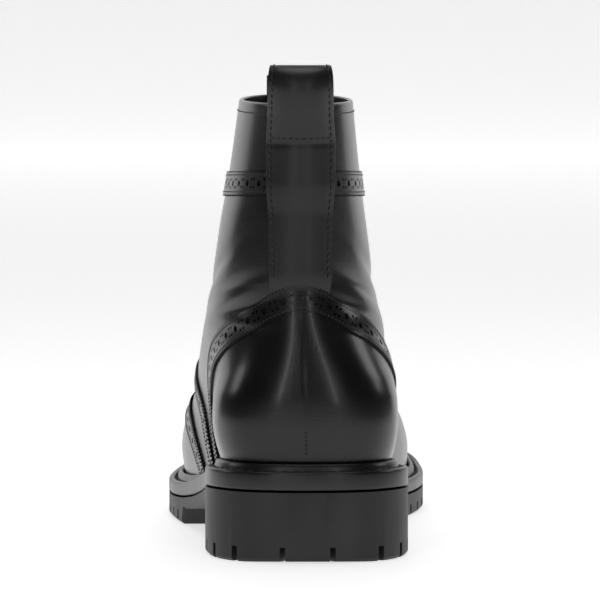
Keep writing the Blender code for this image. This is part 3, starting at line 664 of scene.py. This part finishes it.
# ------------------------------------------------------------------ strips laid on the upper
class Line:
    """Centre line on the upper through (theta, v) rows, measured in mm."""

    def __init__(self, tv, base=0.0):
        c = smooth_curve(tv)
        P = surf(c[:, 0], c[:, 1])
        self.c = c
        self.s = np.concatenate([[0], np.cumsum(np.linalg.norm(np.diff(P, axis=0), axis=1))])
        keep = np.concatenate([[True], np.diff(self.s) > 1e-6])
        self.c, self.s = c[keep], self.s[keep]
        self.length = float(self.s[-1])
        self.base = base

    def raw(self, s):
        return np.interp(s, self.s, self.c[:, 0]), np.interp(s, self.s, self.c[:, 1])

    def tv(self, s, t):
        s, t = np.broadcast_arrays(np.asarray(s, float), np.asarray(t, float))
        sc = np.clip(s, 0, self.length)
        th, v = self.raw(sc)
        e = 2.5
        p0 = surf(th, v)
        sa, sb = np.clip(sc + e, 0, self.length), np.clip(sc - e, 0, self.length)
        T = surf(*self.raw(sa)) - surf(*self.raw(sb))
        T /= np.maximum(1e-9, np.linalg.norm(T, axis=-1, keepdims=True))
        N = surf_n(th, v)
        B = np.cross(N, T)
        B /= np.maximum(1e-9, np.linalg.norm(B, axis=-1, keepdims=True))
        target = p0 + B * t[..., None] + T * (s - sc)[..., None]
        return nearest(target, th, v, 4)

    def point(self, s, t, h):
        th, v = self.tv(s, t)
        return at(th, v, np.asarray(h, float) + self.base)


def stitches(name, paths, mat=None, length=1.7, gap=0.75, rad=0.27, sink=0.12):
    """Short raised threads along 3D lines; paths is a list of (points, normals)."""
    V, F = [], []
    count = 0
    us = np.array([0.0, 0.16, 0.5, 0.84, 1.0])
    rr = np.array([0.45, 0.95, 1.0, 0.95, 0.45]) * rad
    hh = np.array([-sink, rad * 0.45, rad * 0.75, rad * 0.45, -sink])
    ring = 6
    ang = np.linspace(0, 2 * math.pi, ring, endpoint=False)
    for P, N in paths:
        P, N = np.asarray(P, float), np.asarray(N, float)
        s = np.concatenate([[0], np.cumsum(np.linalg.norm(np.diff(P, axis=0), axis=1))])
        total = s[-1]
        n = int(total / (length + gap))
        if n < 1:
            continue
        c = (np.arange(n) + 0.5) * total / n
        q = c[:, None] + (us[None, :] - 0.5) * length
        Q = np.stack([np.interp(q, s, P[:, k]) for k in range(3)], -1)
        M = np.stack([np.interp(q, s, N[:, k]) for k in range(3)], -1)
        M /= np.linalg.norm(M, axis=-1, keepdims=True)
        T = np.gradient(Q, axis=1)
        T /= np.linalg.norm(T, axis=-1, keepdims=True)
        B = np.cross(M, T)
        C = Q + M * hh[None, :, None]
        rings = (C[:, :, None, :] + (B[:, :, None, :] * np.cos(ang)[None, None, :, None]
                                     + M[:, :, None, :] * np.sin(ang)[None, None, :, None]) * rr[None, :, None, None])
        V.append(rings.reshape(-1, 3))
        for k in range(n):
            base = count + k * 5 * ring
            for i in range(4):
                for j in range(ring):
                    a = base + i * ring + j
                    b = base + i * ring + (j + 1) % ring
                    F.append((a, b, b + ring, a + ring))
            F.append(tuple(base + j for j in range(ring))[::-1])
            F.append(tuple(base + 4 * ring + j for j in range(ring)))
        count += n * 5 * ring
    if not V:
        return None
    return make(name, np.concatenate(V), F, mat or M_THREAD, weld=False, angle=70)


def cell(width, period, teeth, depth, big, small, small_off, pink=(True, True)):
    """One repeat of a perforated strip as a flat triangulation with its rims."""
    w = width / 2
    pts, edges, rims = [], [], []

    def add_chain(chain):
        base = len(pts)
        pts.extend(chain)
        for i in range(len(chain) - 1):
            edges.append((base + i, base + i + 1))
        return list(range(base, base + len(chain)))
    p = period / teeth
    for sgn, on in ((1, pink[1]), (-1, pink[0])):
        chain = []
        for k in range(teeth):
            chain.append((k * p, sgn * (w - (depth if on else 0))))
            chain.append(((k + 0.5) * p, sgn * w))
        chain.append((period, sgn * (w - (depth if on else 0))))
        rims.append(("edge", add_chain(chain)))
    inner_t = np.linspace(-(w - depth), w - depth, 8)[1:-1]
    for s in (0.0, period):
        for t in inner_t:
            pts.append((s, float(t)))
    holes = [((period / 2, 0.0), big / 2, 16)]
    for t in small_off:
        for s0 in (0.0 + 0.001, ):
            pass
    for sx, t in [(period * 0.115, small_off[0]), (period * 0.115, -small_off[0]),
                  (period * 0.885, small_off[0]), (period * 0.885, -small_off[0])]:
        holes.append(((sx, t), small / 2, 9))
    for (cx, cy), r, n in holes:
        base = len(pts)
        for k in range(n):
            a = 2 * math.pi * (k + 0.5) / n
            pts.append((cx + r * math.cos(a), cy + r * math.sin(a)))
        loop = list(range(base, base + n))
        for k in range(n):
            edges.append((loop[k], loop[(k + 1) % n]))
        rims.append(("hole", loop))
    for gx in np.arange(0.9, period - 0.4, 1.3):
        for gy in np.arange(-(w - depth) + 0.8, w - depth - 0.3, 1.3):
            if all(math.hypot(gx - c[0], gy - c[1]) > r + 0.35 for c, r, _ in holes):
                pts.append((gx, gy))
    res = geometry.delaunay_2d_cdt([Vector(q) for q in pts], edges, [], 0, 1e-5)
    out_v, out_f = [tuple(q) for q in res[0]], res[2]
    tris = []
    for f in out_f:
        cx = sum(out_v[i][0] for i in f) / 3
        cy = sum(out_v[i][1] for i in f) / 3
        if any(math.hypot(cx - c[0], cy - c[1]) < r * 0.999 * math.cos(math.pi / n) for c, r, n in holes):
            continue
        ph = (cx % p) / p
        lim = w - depth + depth * (1 - abs(2 * ph - 1))
        up_lim = lim if pink[1] else w
        lo_lim = lim if pink[0] else w
        if cy > up_lim - 1e-6 or cy < -lo_lim + 1e-6:
            continue
        tris.append(tuple(f))
    orig = res[3]
    back = {}
    for new, olds in enumerate(orig):
        for o in olds:
            back[o] = new
    rims = [(kind, [back[i] for i in loop]) for kind, loop in rims]
    return np.array(out_v), tris, rims


def strip(name, line, width=10.4, height=0.95, period=9.3, teeth=6, depth=0.85, big=2.7, small=1.25, off=1.55,
          pink=(True, True), s0=0.0, s1=None, stitch=True, inset_st=1.55, holes=True):
    s1 = line.length if s1 is None else s1
    n = max(1, int(round((s1 - s0) / period)))
    scale = (s1 - s0) / (n * period)
    cv, ct, rims = cell(width, period, teeth, depth, big, small, (off,), pink)
    V, F = [], []
    k = len(cv)
    soft = 0.22
    for i in range(n):
        s = s0 + (cv[:, 0] + i * period) * scale
        top = line.point(s, cv[:, 1], height)
        base = len(V)
        V.extend(top)
        for f in ct:
            F.append((base + f[0], base + f[1], base + f[2]))
        for kind, loop in rims:
            cc = cv[loop]
            ss = s0 + (cc[:, 0] + i * period) * scale
            if kind == "hole":
                m = len(loop)
                cen = cc.mean(0)
                shr = cen + (cc - cen) * 0.93
                a = len(V)
                V.extend(line.point(s0 + (shr[:, 0] + i * period) * scale, shr[:, 1], height - 0.22))
                V.extend(line.point(s0 + (shr[:, 0] + i * period) * scale, shr[:, 1], -0.12))
                for q in range(m):
                    q2 = (q + 1) % m
                    F.append((base + loop[q], a + q, a + q2, base + loop[q2]))
                    F.append((a + q, a + m + q, a + m + q2, a + q2))
            else:
                m = len(loop)
                a = len(V)
                V.extend(line.point(ss, cc[:, 1] * 1.012, height - soft))
                V.extend(line.point(ss, cc[:, 1] * 1.012, -0.15))
                for q in range(m - 1):
                    F.append((base + loop[q], base + loop[q + 1], a + q + 1, a + q))
                    F.append((a + q, a + q + 1, a + m + q + 1, a + m + q))
    # end walls
    for s in (s0, s1):
        ts = np.linspace(-(width / 2 - depth), width / 2 - depth, 8)
        a = len(V)
        V.extend(line.point(np.full(8, s), ts, height))
        V.extend(line.point(np.full(8, s), ts, -0.15))
        for q in range(7):
            F.append((a + q, a + q + 1, a + 8 + q + 1, a + 8 + q))
    ob = make(name, np.array(V), F, M_PANEL, angle=45)
    if stitch:
        paths = []
        q = np.arange(s0 + 0.4, s1 - 0.4, 0.6)
        for t in (-(width / 2 - inset_st), width / 2 - inset_st):
            th, v = line.tv(q, np.full(q.shape, t))
            paths.append((at(th, v, np.full(q.shape, height + line.base)), surf_n(th, v)))
        stitches(name + "_thread", paths, length=1.25, gap=0.55, rad=0.2)
    return ob


def tvs(side, rows):
    return [locate(side, y, z) for y, z in rows]


def unwrapped(rows):
    """Keeps theta running one way through a list of (theta, v)."""
    out = [list(rows[0])]
    for th, v in rows[1:]:
        while th - out[-1][0] > math.pi:
            th -= 2 * math.pi
        while th - out[-1][0] < -math.pi:
            th += 2 * math.pi
        out.append([th, v])
    return out


_glat = surf(_gs, _gv)
_gmed = surf(2 * math.pi - _gs, _gv)

# counter strip: sole, round front corner, over the heel's back, and down the other side
lat_rows = [(91.0, 29.5), (90.0, 40.0), (86.0, 53.0), (77.0, 65.5), (61.0, 76.5), (43.0, 84.3), (26.0, 91.5)]
med_rows = [(25.0, 92.0), (41.0, 83.2), (52.0, 74.6), (62.0, 64.8), (70.0, 54.0), (75.5, 42.5), (77.5, 31.0)]
counter = unwrapped(tvs('lat', lat_rows) + [(0.0, locate('lat', 10.6, 104.2)[1])] + tvs('med', med_rows))
counter_line = Line(counter)
strip("counter_band", counter_line)

# collar strip from facing to facing
collar_rows = [(math.pi - 0.62 - k * (math.pi - 0.62) / 8, 0.838) for k in range(9)]
collar_rows += [(-k * (math.pi - 0.62) / 8, 0.838) for k in range(1, 9)]
collar_line = Line(collar_rows)
strip("collar_band", collar_line, width=10.0)

# quarter strips: sole up to the throat's base
for tag, sd in (("lat", 1), ("med", -1)):
    rows = [(109.0, 25.5), (114.0, 38.0), (124.0, 52.0), (140.0, 63.5), (160.0, 69.5), (181.0, 71.5), (199.0, 70.2)]
    ln = Line(tvs(tag, rows))
    strip("quarter_band_" + tag, ln)
    rows = [(134.0, 20.5), (143.0, 30.0), (158.0, 39.5), (178.0, 46.0), (200.0, 50.0), (222.0, 53.5)]
    q = tvs(tag, rows)
    q.append((math.pi if tag == "lat" else math.pi, 0.315))
    ln = Line(q)
    strip("wing_band_" + tag, ln)

# facing strips up the front
for tag, sd in (("lat", -1), ("med", 1)):
    vv = np.linspace(0.50, 0.80, 9)
    thf = side_theta(np.full(vv.shape, sd * 24.5), vv, True)
    ln = Line(list(zip(thf, vv)))
    strip("facing_band_" + tag, ln)

# top line: a row of stitches just under the collar's rolled edge
q = np.linspace(math.pi + 0.36, 3 * math.pi - 0.36, 400)
paths = [(at(q, np.full(q.shape, 0.982), np.full(q.shape, 0.0)), surf_n(q, np.full(q.shape, 0.982)))]
stitches("collar_thread", paths, length=1.5, gap=0.6, rad=0.22)


# ------------------------------------------------------------------ backstay strap and pull loop
LOOP_HALF, LOOP_THICK = 12.3, 1.8
LOOP_PATH = [(-3.4, 176.2), (-5.4, 182.0), (-5.9, 187.8), (-3.7, 192.6), (0.6, 194.6), (4.9, 192.8), (6.7, 187.8),
             (6.0, 182.6)]


def strap():
    xo = np.linspace(-1, 1, 27)
    xo = np.sign(xo) * (1 - (1 - np.abs(xo)) ** 1.25)
    cols = xo * LOOP_HALF + SHAFT_LEAN[0] - 0.3
    rows, kinds = [], []

    def on(v, off):
        th = side_theta(cols, np.full(cols.shape, v), False)
        return at(th, np.full(cols.shape, v), np.full(cols.shape, off))
    for v in np.linspace(0.580, 0.925, 24):
        tuck = float(np.clip((0.632 - v) / 0.04, 0, 1))
        rows.append(on(v, -0.35 - 1.3 * tuck + 1.15 * float(np.clip((v - 0.78) / 0.05, 0, 1))))
    top = on(0.985, 0.8)
    mid = len(cols) // 2
    ref = top[mid][1]
    for dy, z in LOOP_PATH:
        flat = 0.5 if z > 190 else 0.7 if z > 185 else 0.95
        row = np.stack([cols, ref + dy + (top[:, 1] - ref) * flat, np.full(cols.shape, z)], -1)
        rows.append(row)
    for v in (0.965, 0.93, 0.89, 0.85):
        rows.append(on(v, -(WALL + 0.9)))
    G = np.array(rows)
    # finer rows along the strap
    fine = np.stack([smooth_curve(G[:, j]) for j in range(len(cols))], 1)
    pick = [0]
    for i in range(1, len(fine)):
        if np.linalg.norm(fine[i, mid] - fine[pick[-1], mid]) > 0.9 or i == len(fine) - 1:
            pick.append(i)
    G = fine[pick]
    du, dv = np.gradient(G, axis=0), np.gradient(G, axis=1)
    N = np.cross(dv, du)
    N /= np.linalg.norm(N, axis=2)[:, :, None]
    if N[4, mid, 1] > 0:
        N = -N
    edge_r = np.minimum(1, (1 - np.abs(xo)) * LOOP_HALF / 0.8)
    hgt = LOOP_THICK * (0.35 + 0.65 * np.sqrt(np.maximum(0, 1 - (1 - edge_r) ** 2)))
    # a slight hollow along the stitch lines
    a = np.abs(cols - cols[mid])
    hgt = hgt - 0.22 * np.exp(-((a - (LOOP_HALF - 2.2)) / 0.55) ** 2)
    H = np.repeat(hgt[None], len(G), 0)
    end = np.minimum(1, np.arange(len(G)) / 1.0)
    H = H * np.where(end < 1, 0.45, 1.0)[:, None]
    topg = G + N * H[..., None]
    r, c = G.shape[:2]
    V = np.concatenate([G.reshape(-1, 3), topg.reshape(-1, 3)])
    k = r * c
    F = []
    for i in range(r - 1):
        for j in range(c - 1):
            b = i * c + j
            F.append((b, b + 1, b + c + 1, b + c))
            F.append((k + b, k + b + c, k + b + c + 1, k + b + 1))
    for j in range(c - 1):
        F.append((j, j + 1, k + j + 1, k + j))
        b = (r - 1) * c + j
        F.append((b, b + 1, k + b + 1, k + b))
    for i in range(r - 1):
        for b in (i * c, i * c + c - 1):
            F.append((b, b + c, k + b + c, k + b))
    make("strap_and_loop", V, F, M_STRAP, ["pull_loop"], angle=50)
    # stitch rectangle: two long rows and a cross row
    z = topg[:, mid, 2]
    first_down = int(np.argmax(z))
    col_l = int(np.argmin(np.abs(cols - (cols[mid] - (LOOP_HALF - 2.2)))))
    col_r = int(np.argmin(np.abs(cols - (cols[mid] + (LOOP_HALF - 2.2)))))
    top_i = int(np.argmin(np.abs(z[:first_down] - 167.0)))
    low_i = int(np.argmin(np.abs(z[:first_down] - 112.0)))
    lo, hi = min(low_i, top_i), max(low_i, top_i)
    paths = [(topg[lo:hi + 1, col_l], N[lo:hi + 1, col_l]), (topg[lo:hi + 1, col_r], N[lo:hi + 1, col_r]),
             (topg[top_i, col_l:col_r + 1], N[top_i, col_l:col_r + 1])]
    # the long rows go on over the loop
    paths += [(topg[hi:first_down + 8, col_l], N[hi:first_down + 8, col_l]),
              (topg[hi:first_down + 8, col_r], N[hi:first_down + 8, col_r])]
    stitches("strap_thread", paths, length=1.9, gap=0.7, rad=0.3, sink=0.1)


strap()

# small seam on the heel's back above the welt
vv = np.linspace(locate('lat', 6.5, 42.0)[1], locate('lat', 5.5, 52.0)[1], 20)
stitches("heel_seam", [(at(np.full(vv.shape, 0.001), vv, np.zeros(vv.shape)), surf_n(np.full(vv.shape, 0.001), vv))],
         length=1.0, gap=0.5, rad=0.35)


# ------------------------------------------------------------------ tongue
def tongue():
    cols = 33
    js = np.linspace(-1, 1, cols)
    rows = []
    for t in np.linspace(0, 1, 60):
        v = 0.43 + 0.57 * min(1.0, t / 0.93)
        spread = 0.62 - 0.05 * t
        lift = max(0.0, (t - 0.93) / 0.07)
        th = math.pi + spread * js
        p = at(th, np.full(cols, v), np.full(cols, -(WALL + 0.9)))
        rows.append(p + np.array([0, 3.0 * lift, 9.0 * lift]))
    G = np.array(rows)
    du, dv = np.gradient(G, axis=0), np.gradient(G, axis=1)
    N = np.cross(du, dv)
    N /= np.linalg.norm(N, axis=2)[:, :, None]
    if np.dot(N[30, 16], (0, -1, -0.6)) < 0:
        N = -N
    V, F = sheet_solid(G, N, 2.0)
    make("tongue_leather", V, F, M_PANEL, ["tongue"], angle=50)


tongue()


# ------------------------------------------------------------------ eyelets, hooks and laces
EYE_LEVELS = [0.505, 0.560, 0.618, 0.678]
HOOK_LEVELS = [0.750, 0.835, 0.925]
FACING_X = 14.5


def frame_at(x, v):
    th = side_theta(np.array([x]), np.array([v]), True)
    va = np.array([v])
    p = surf(th, va)[0]
    n = surf_n(th, va)[0]
    up = (surf(th, va + 0.01) - surf(th, va - 0.01))[0]
    up -= n * np.dot(up, n)
    up /= np.linalg.norm(up)
    return p, n, up, np.cross(n, up)


def turned(profile, seg, p, n, u, w):
    m = len(profile)
    V = []
    for i in range(seg):
        a = 2 * math.pi * i / seg
        d = u * math.cos(a) + w * math.sin(a)
        V += [p + d * r + n * h for r, h in profile]
    F = [(i * m + j, i * m + (j + 1) % m, ((i + 1) % seg) * m + (j + 1) % m, ((i + 1) % seg) * m + j)
         for i in range(seg) for j in range(m)]
    return V, F


def eyelet(name, x, v):
    p, n, u, w = frame_at(x, v)
    prof = [(1.75, -1.2), (3.3, 0.1), (3.62, 0.35), (3.62, 0.6), (3.35, 0.95), (2.9, 1.22), (2.45, 1.26), (2.05, 1.05),
            (1.8, 0.6), (1.7, 0.0)]
    V, F = turned(prof, 32, p, n, u, w)
    make(name, V, F, M_METAL, [name.replace("ring", "eyelet")], angle=60)


def hook(name, x, v):
    p, n, u, w = frame_at(x, v)
    out = w if np.dot(w, np.array([math.copysign(1, x), 0, 0])) > 0 else -w
    mid = [(-3.2, 0.8), (-2.3, 1.0), (-1.7, 1.8), (-1.3, 2.9), (-0.5, 3.8), (0.9, 4.25), (2.6, 4.1), (3.8, 3.6), (4.3, 3.1)]
    line = smooth_curve(mid)
    line = line[::5]
    T = np.gradient(line, axis=0)
    T /= np.linalg.norm(T, axis=1)[:, None]
    Nn = np.stack([-T[:, 1], T[:, 0]], 1)
    V, seg = [], 12
    for k, (q, m) in enumerate(zip(line, Nn)):
        f = k / (len(line) - 1)
        half_w = 2.3 if f < 0.25 else 1.7 + 0.5 * max(0, (f - 0.6) / 0.4)
        half_t = 0.42
        if f > 0.93:
            half_w *= math.sqrt(max(0.05, 1 - ((f - 0.93) / 0.07) ** 2))
        for i in range(seg):
            a = 2 * math.pi * i / seg
            ca, sa = math.cos(a), math.sin(a)
            sq = (abs(ca) ** 4 + abs(sa) ** 4) ** -0.25
            a2 = q + m * (half_t * sa * sq)
            V.append(p + out * a2[0] + n * a2[1] + u * (half_w * ca * sq))
    F = grid_faces(len(line), seg, wrap_c=True)
    F.append(tuple(range(seg))[::-1])
    F.append(tuple((len(line) - 1) * seg + i for i in range(seg)))
    # round foot plate
    prof = [(0.0, 0.35), (3.0, 0.35), (3.25, 0.6), (3.25, 0.85), (2.95, 1.1), (0.0, 1.12)]
    base = len(V)
    V2, F2 = turned(prof, 28, p + out * -0.2, n, u, w)
    V += V2
    F += [tuple(base + i for i in f) for f in F2]
    make(name, V, F, M_METAL, [name.replace("speed_", "")], angle=45)


for k, v in enumerate(EYE_LEVELS):
    eyelet("ring_lat_%d" % (k + 1), -FACING_X, v)
    eyelet("ring_med_%d" % (k + 1), FACING_X, v)
for k, v in enumerate(HOOK_LEVELS):
    hook("speed_hook_lat_%d" % (k + 1), -FACING_X, v)
    hook("speed_hook_med_%d" % (k + 1), FACING_X, v)


def lace_run(sign):
    levels = EYE_LEVELS + HOOK_LEVELS
    pts = []
    for k in range(len(levels)):
        s = sign if k % 2 == 0 else -sign
        p, n, u, w = frame_at(s * FACING_X, levels[k])
        o = w if np.dot(w, np.array([math.copysign(1, s), 0, 0])) > 0 else -w
        if k < len(EYE_LEVELS):
            if k == 0:
                pts += [p - n * 1.0, p + n * 1.2]
            else:
                pts += [p + n * 2.6 - o * 2.2 - u * 0.5, p + n * 2.75 - o * 0.2, p + n * 2.6 - o * 2.2 + u * 0.9]
        else:
            pts += [p + n * 2.5 - o * 4.4 - u * 1.4, p + n * 2.7 - o * 1.0 - u * 0.9, p + n * 2.7 + o * 0.9,
                    p + n * 2.7 - o * 1.0 + u * 1.9]
            if k < len(levels) - 1:
                pts += [p + n * 2.5 - o * 4.4 + u * 2.4]
        if k < len(levels) - 1:
            a, b = levels[k], levels[k + 1]
            for t in (0.35, 0.5, 0.65):
                x = s * FACING_X * (1 - 2 * t)
                pc, nc, uc, wc = frame_at(x, a + (b - a) * t)
                over = 1.6 if (sign > 0) else 0.2
                pts.append(pc + nc * (2.0 + over * 0.9))
        else:
            pts += [p + n * 1.6 - o * 1.6 + u * 1.2, p + n * 0.9 - o * 2.6 - u * 0.6]
    return np.array(pts)


def tube(path, rad, seg=12, step=0.7):
    c = smooth_curve(path)
    _, P, total = resample(c, step)
    T = np.gradient(P, axis=0)
    T /= np.linalg.norm(T, axis=1)[:, None]
    up = np.array([0.0, 0.0, 1.0])
    V = []
    nrm = np.cross(T[0], up)
    nrm /= np.linalg.norm(nrm)
    for i in range(len(P)):
        nrm = nrm - T[i] * np.dot(nrm, T[i])
        nrm /= np.linalg.norm(nrm)
        bi = np.cross(T[i], nrm)
        f = min(1.0, (min(i, len(P) - 1 - i) + 0.6) / 2.5) ** 0.5
        for j in range(seg):
            a = 2 * math.pi * j / seg
            # braided cord: two sets of low ridges wind round it
            r = rad * f * (1 + 0.06 * math.cos(3 * a + i * 0.9) * math.cos(3 * a - i * 0.9))
            V.append(P[i] + (nrm * math.cos(a) + bi * math.sin(a)) * r)
    F = grid_faces(len(P), seg, wrap_c=True)
    F.append(tuple(range(seg))[::-1])
    F.append(tuple((len(P) - 1) * seg + j for j in range(seg)))
    return V, F


V, F = [], []
for sg in (1, -1):
    v2, f2 = tube(lace_run(sg), 1.45)
    b = len(V)
    V += v2
    F += [tuple(b + i for i in f) for f in f2]
make("lace_cord", V, F, M_LACE, ["laces"], angle=70)


# ------------------------------------------------------------------ welt
def welt():
    n = 960
    loop = edge(n)
    T, J = z_top(loop[:, 1]), z_joint(loop[:, 1])
    prof = [(9.0, 'J', 0.0), (0.9, 'J', 0.0), (0.35, 'J', 0.2), (0.05, 'J', 0.7), (0.0, 'J', 1.2), (0.0, 'T', -1.3),
            (0.1, 'T', -0.7), (0.45, 'T', -0.2), (1.0, 'T', 0.0), (1.9, 'T', 0.02), (2.3, 'T', -0.2), (2.6, 'T', -0.55),
            (3.1, 'T', -0.7), (3.55, 'T', -0.5), (3.8, 'T', 0.1), (4.0, 'T', 0.9), (4.3, 'T', 1.8), (4.75, 'T', 2.5),
            (5.3, 'T', 2.85), (5.9, 'T', 2.7), (6.4, 'T', 2.0), (6.8, 'T', 0.8), (7.1, 'T', 0.2), (9.0, 'T', -1.4)]
    V = []
    for d, base, dz in prof:
        p = inset(loop, d)
        z = (J if base == 'J' else T) + dz
        V.append(np.stack([p[:, 0], p[:, 1], z], 1))
    G = np.array(V)
    F = grid_faces(len(prof), n, wrap_c=True, wrap_r=True)
    make("welt_strip", G.reshape(-1, 3), F, M_WELT, ["welt"], angle=60)
    path = inset(loop, 3.0)
    P = np.stack([path[:, 0], path[:, 1], T - 0.55], 1)
    P = np.vstack([P, P[:1]])
    stitches("welt_thread", [(P, np.tile([0.0, 0.0, 1.0], (len(P), 1)))], length=3.6, gap=1.1, rad=0.55, sink=0.3)


welt()

def outsole():
    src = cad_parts["outsole"]
    me = bpy.data.meshes.new("outsole_rubber")
    bm = bmesh.new()
    bm.from_mesh(src.data)
    bmesh.ops.remove_doubles(bm, verts=bm.verts, dist=2e-6)
    bmesh.ops.dissolve_limit(bm, angle_limit=math.radians(1.0), verts=bm.verts, edges=bm.edges)
    bmesh.ops.recalc_face_normals(bm, faces=bm.faces)
    bm.to_mesh(me)
    bm.free()
    me.materials.clear()
    me.materials.append(M_RUBBER)
    for p in me.polygons:
        p.material_index = 0
    ob = bpy.data.objects.new("outsole_rubber", me)
    bpy.context.scene.collection.objects.link(ob)
    me.shade_smooth()
    me.set_sharp_from_angle(angle=math.radians(32))
    bv = ob.modifiers.new("soft_edges", 'BEVEL')
    bv.width = 0.0004
    bv.segments = 2
    bv.limit_method = 'ANGLE'
    bv.angle_limit = math.radians(34)
    bv.harden_normals = True
    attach(ob, "root")
    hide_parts("outsole")


outsole()
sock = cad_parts["insole"].data.materials
sock.clear()
sock.append(M_LINING)


# ------------------------------------------------------------------ camera, floor and light
cam_data = bpy.data.cameras.new("camera")
cam = bpy.data.objects.new("camera", cam_data)
bpy.context.scene.collection.objects.link(cam)
cam_data.sensor_width = 36
cam_data.lens = 328
cam.location = (-0.0101, -2.300, 0.2384)
aim = Vector((0.001, -0.03, 0.0965))
cam.rotation_euler = (aim - Vector(cam.location)).to_track_quat('-Z', 'Y').to_euler()
cam_data.clip_end = 50
bpy.context.scene.camera = cam

fm, fnt, fb = new_mat("pale_floor")
fb.inputs["Base Color"].default_value = (0.92, 0.92, 0.92, 1)
fb.inputs["Roughness"].default_value = 0.6
fb.inputs["Emission Color"].default_value = (1, 1, 1, 1)
fb.inputs["Emission Strength"].default_value = 0.62
me = bpy.data.meshes.new("floor")
prof = [(-6.0, 0.0)]
prof += [(4.4 + 0.9 * math.sin(a), 0.9 - 0.9 * math.cos(a)) for a in np.linspace(0, math.pi / 2, 12)]
prof += [(5.3, 4.5)]
vs = [(x, y, z) for x in (-4.0, 4.0) for y, z in prof]
m = len(prof)
me.from_pydata(vs, [], [(i, i + 1, m + i + 1, m + i) for i in range(m - 1)])
me.materials.append(fm)
me.shade_smooth()
floor = bpy.data.objects.new("floor", me)
bpy.context.scene.collection.objects.link(floor)


def area(name, loc, target, size, energy, size_y=None, color=(1, 1, 1)):
    d = bpy.data.lights.new(name, 'AREA')
    d.energy = energy
    d.color = color
    d.shape = 'RECTANGLE' if size_y else 'SQUARE'
    d.size = size
    if size_y:
        d.size_y = size_y
    o = bpy.data.objects.new(name, d)
    o.location = loc
    o.rotation_euler = (Vector(target) - Vector(loc)).to_track_quat('-Z', 'Y').to_euler()
    bpy.context.scene.collection.objects.link(o)
    return o


area("key_left", (-0.34, -1.25, 0.55), (0, -0.05, 0.10), 0.075, 1.5, 0.9)
area("key_right", (0.42, -1.25, 0.55), (0, -0.05, 0.10), 0.09, 1.3, 0.9)
area("rim_left", (-0.9, 0.35, 0.55), (0, 0, 0.1), 0.35, 0.9)
area("rim_right", (0.9, 0.35, 0.55), (0, 0, 0.1), 0.35, 0.9)
area("top", (0.0, 0.1, 1.6), (0, 0, 0), 1.0, 7.0)

world = bpy.data.worlds.new("studio")
bpy.context.scene.world = world
world.use_nodes = True
bg = world.node_tree.nodes["Background"]
bg.inputs[0].default_value = (1, 1, 1, 1)
bg.inputs[1].default_value = 0.05
bpy.context.scene.view_settings.view_transform = 'Standard'
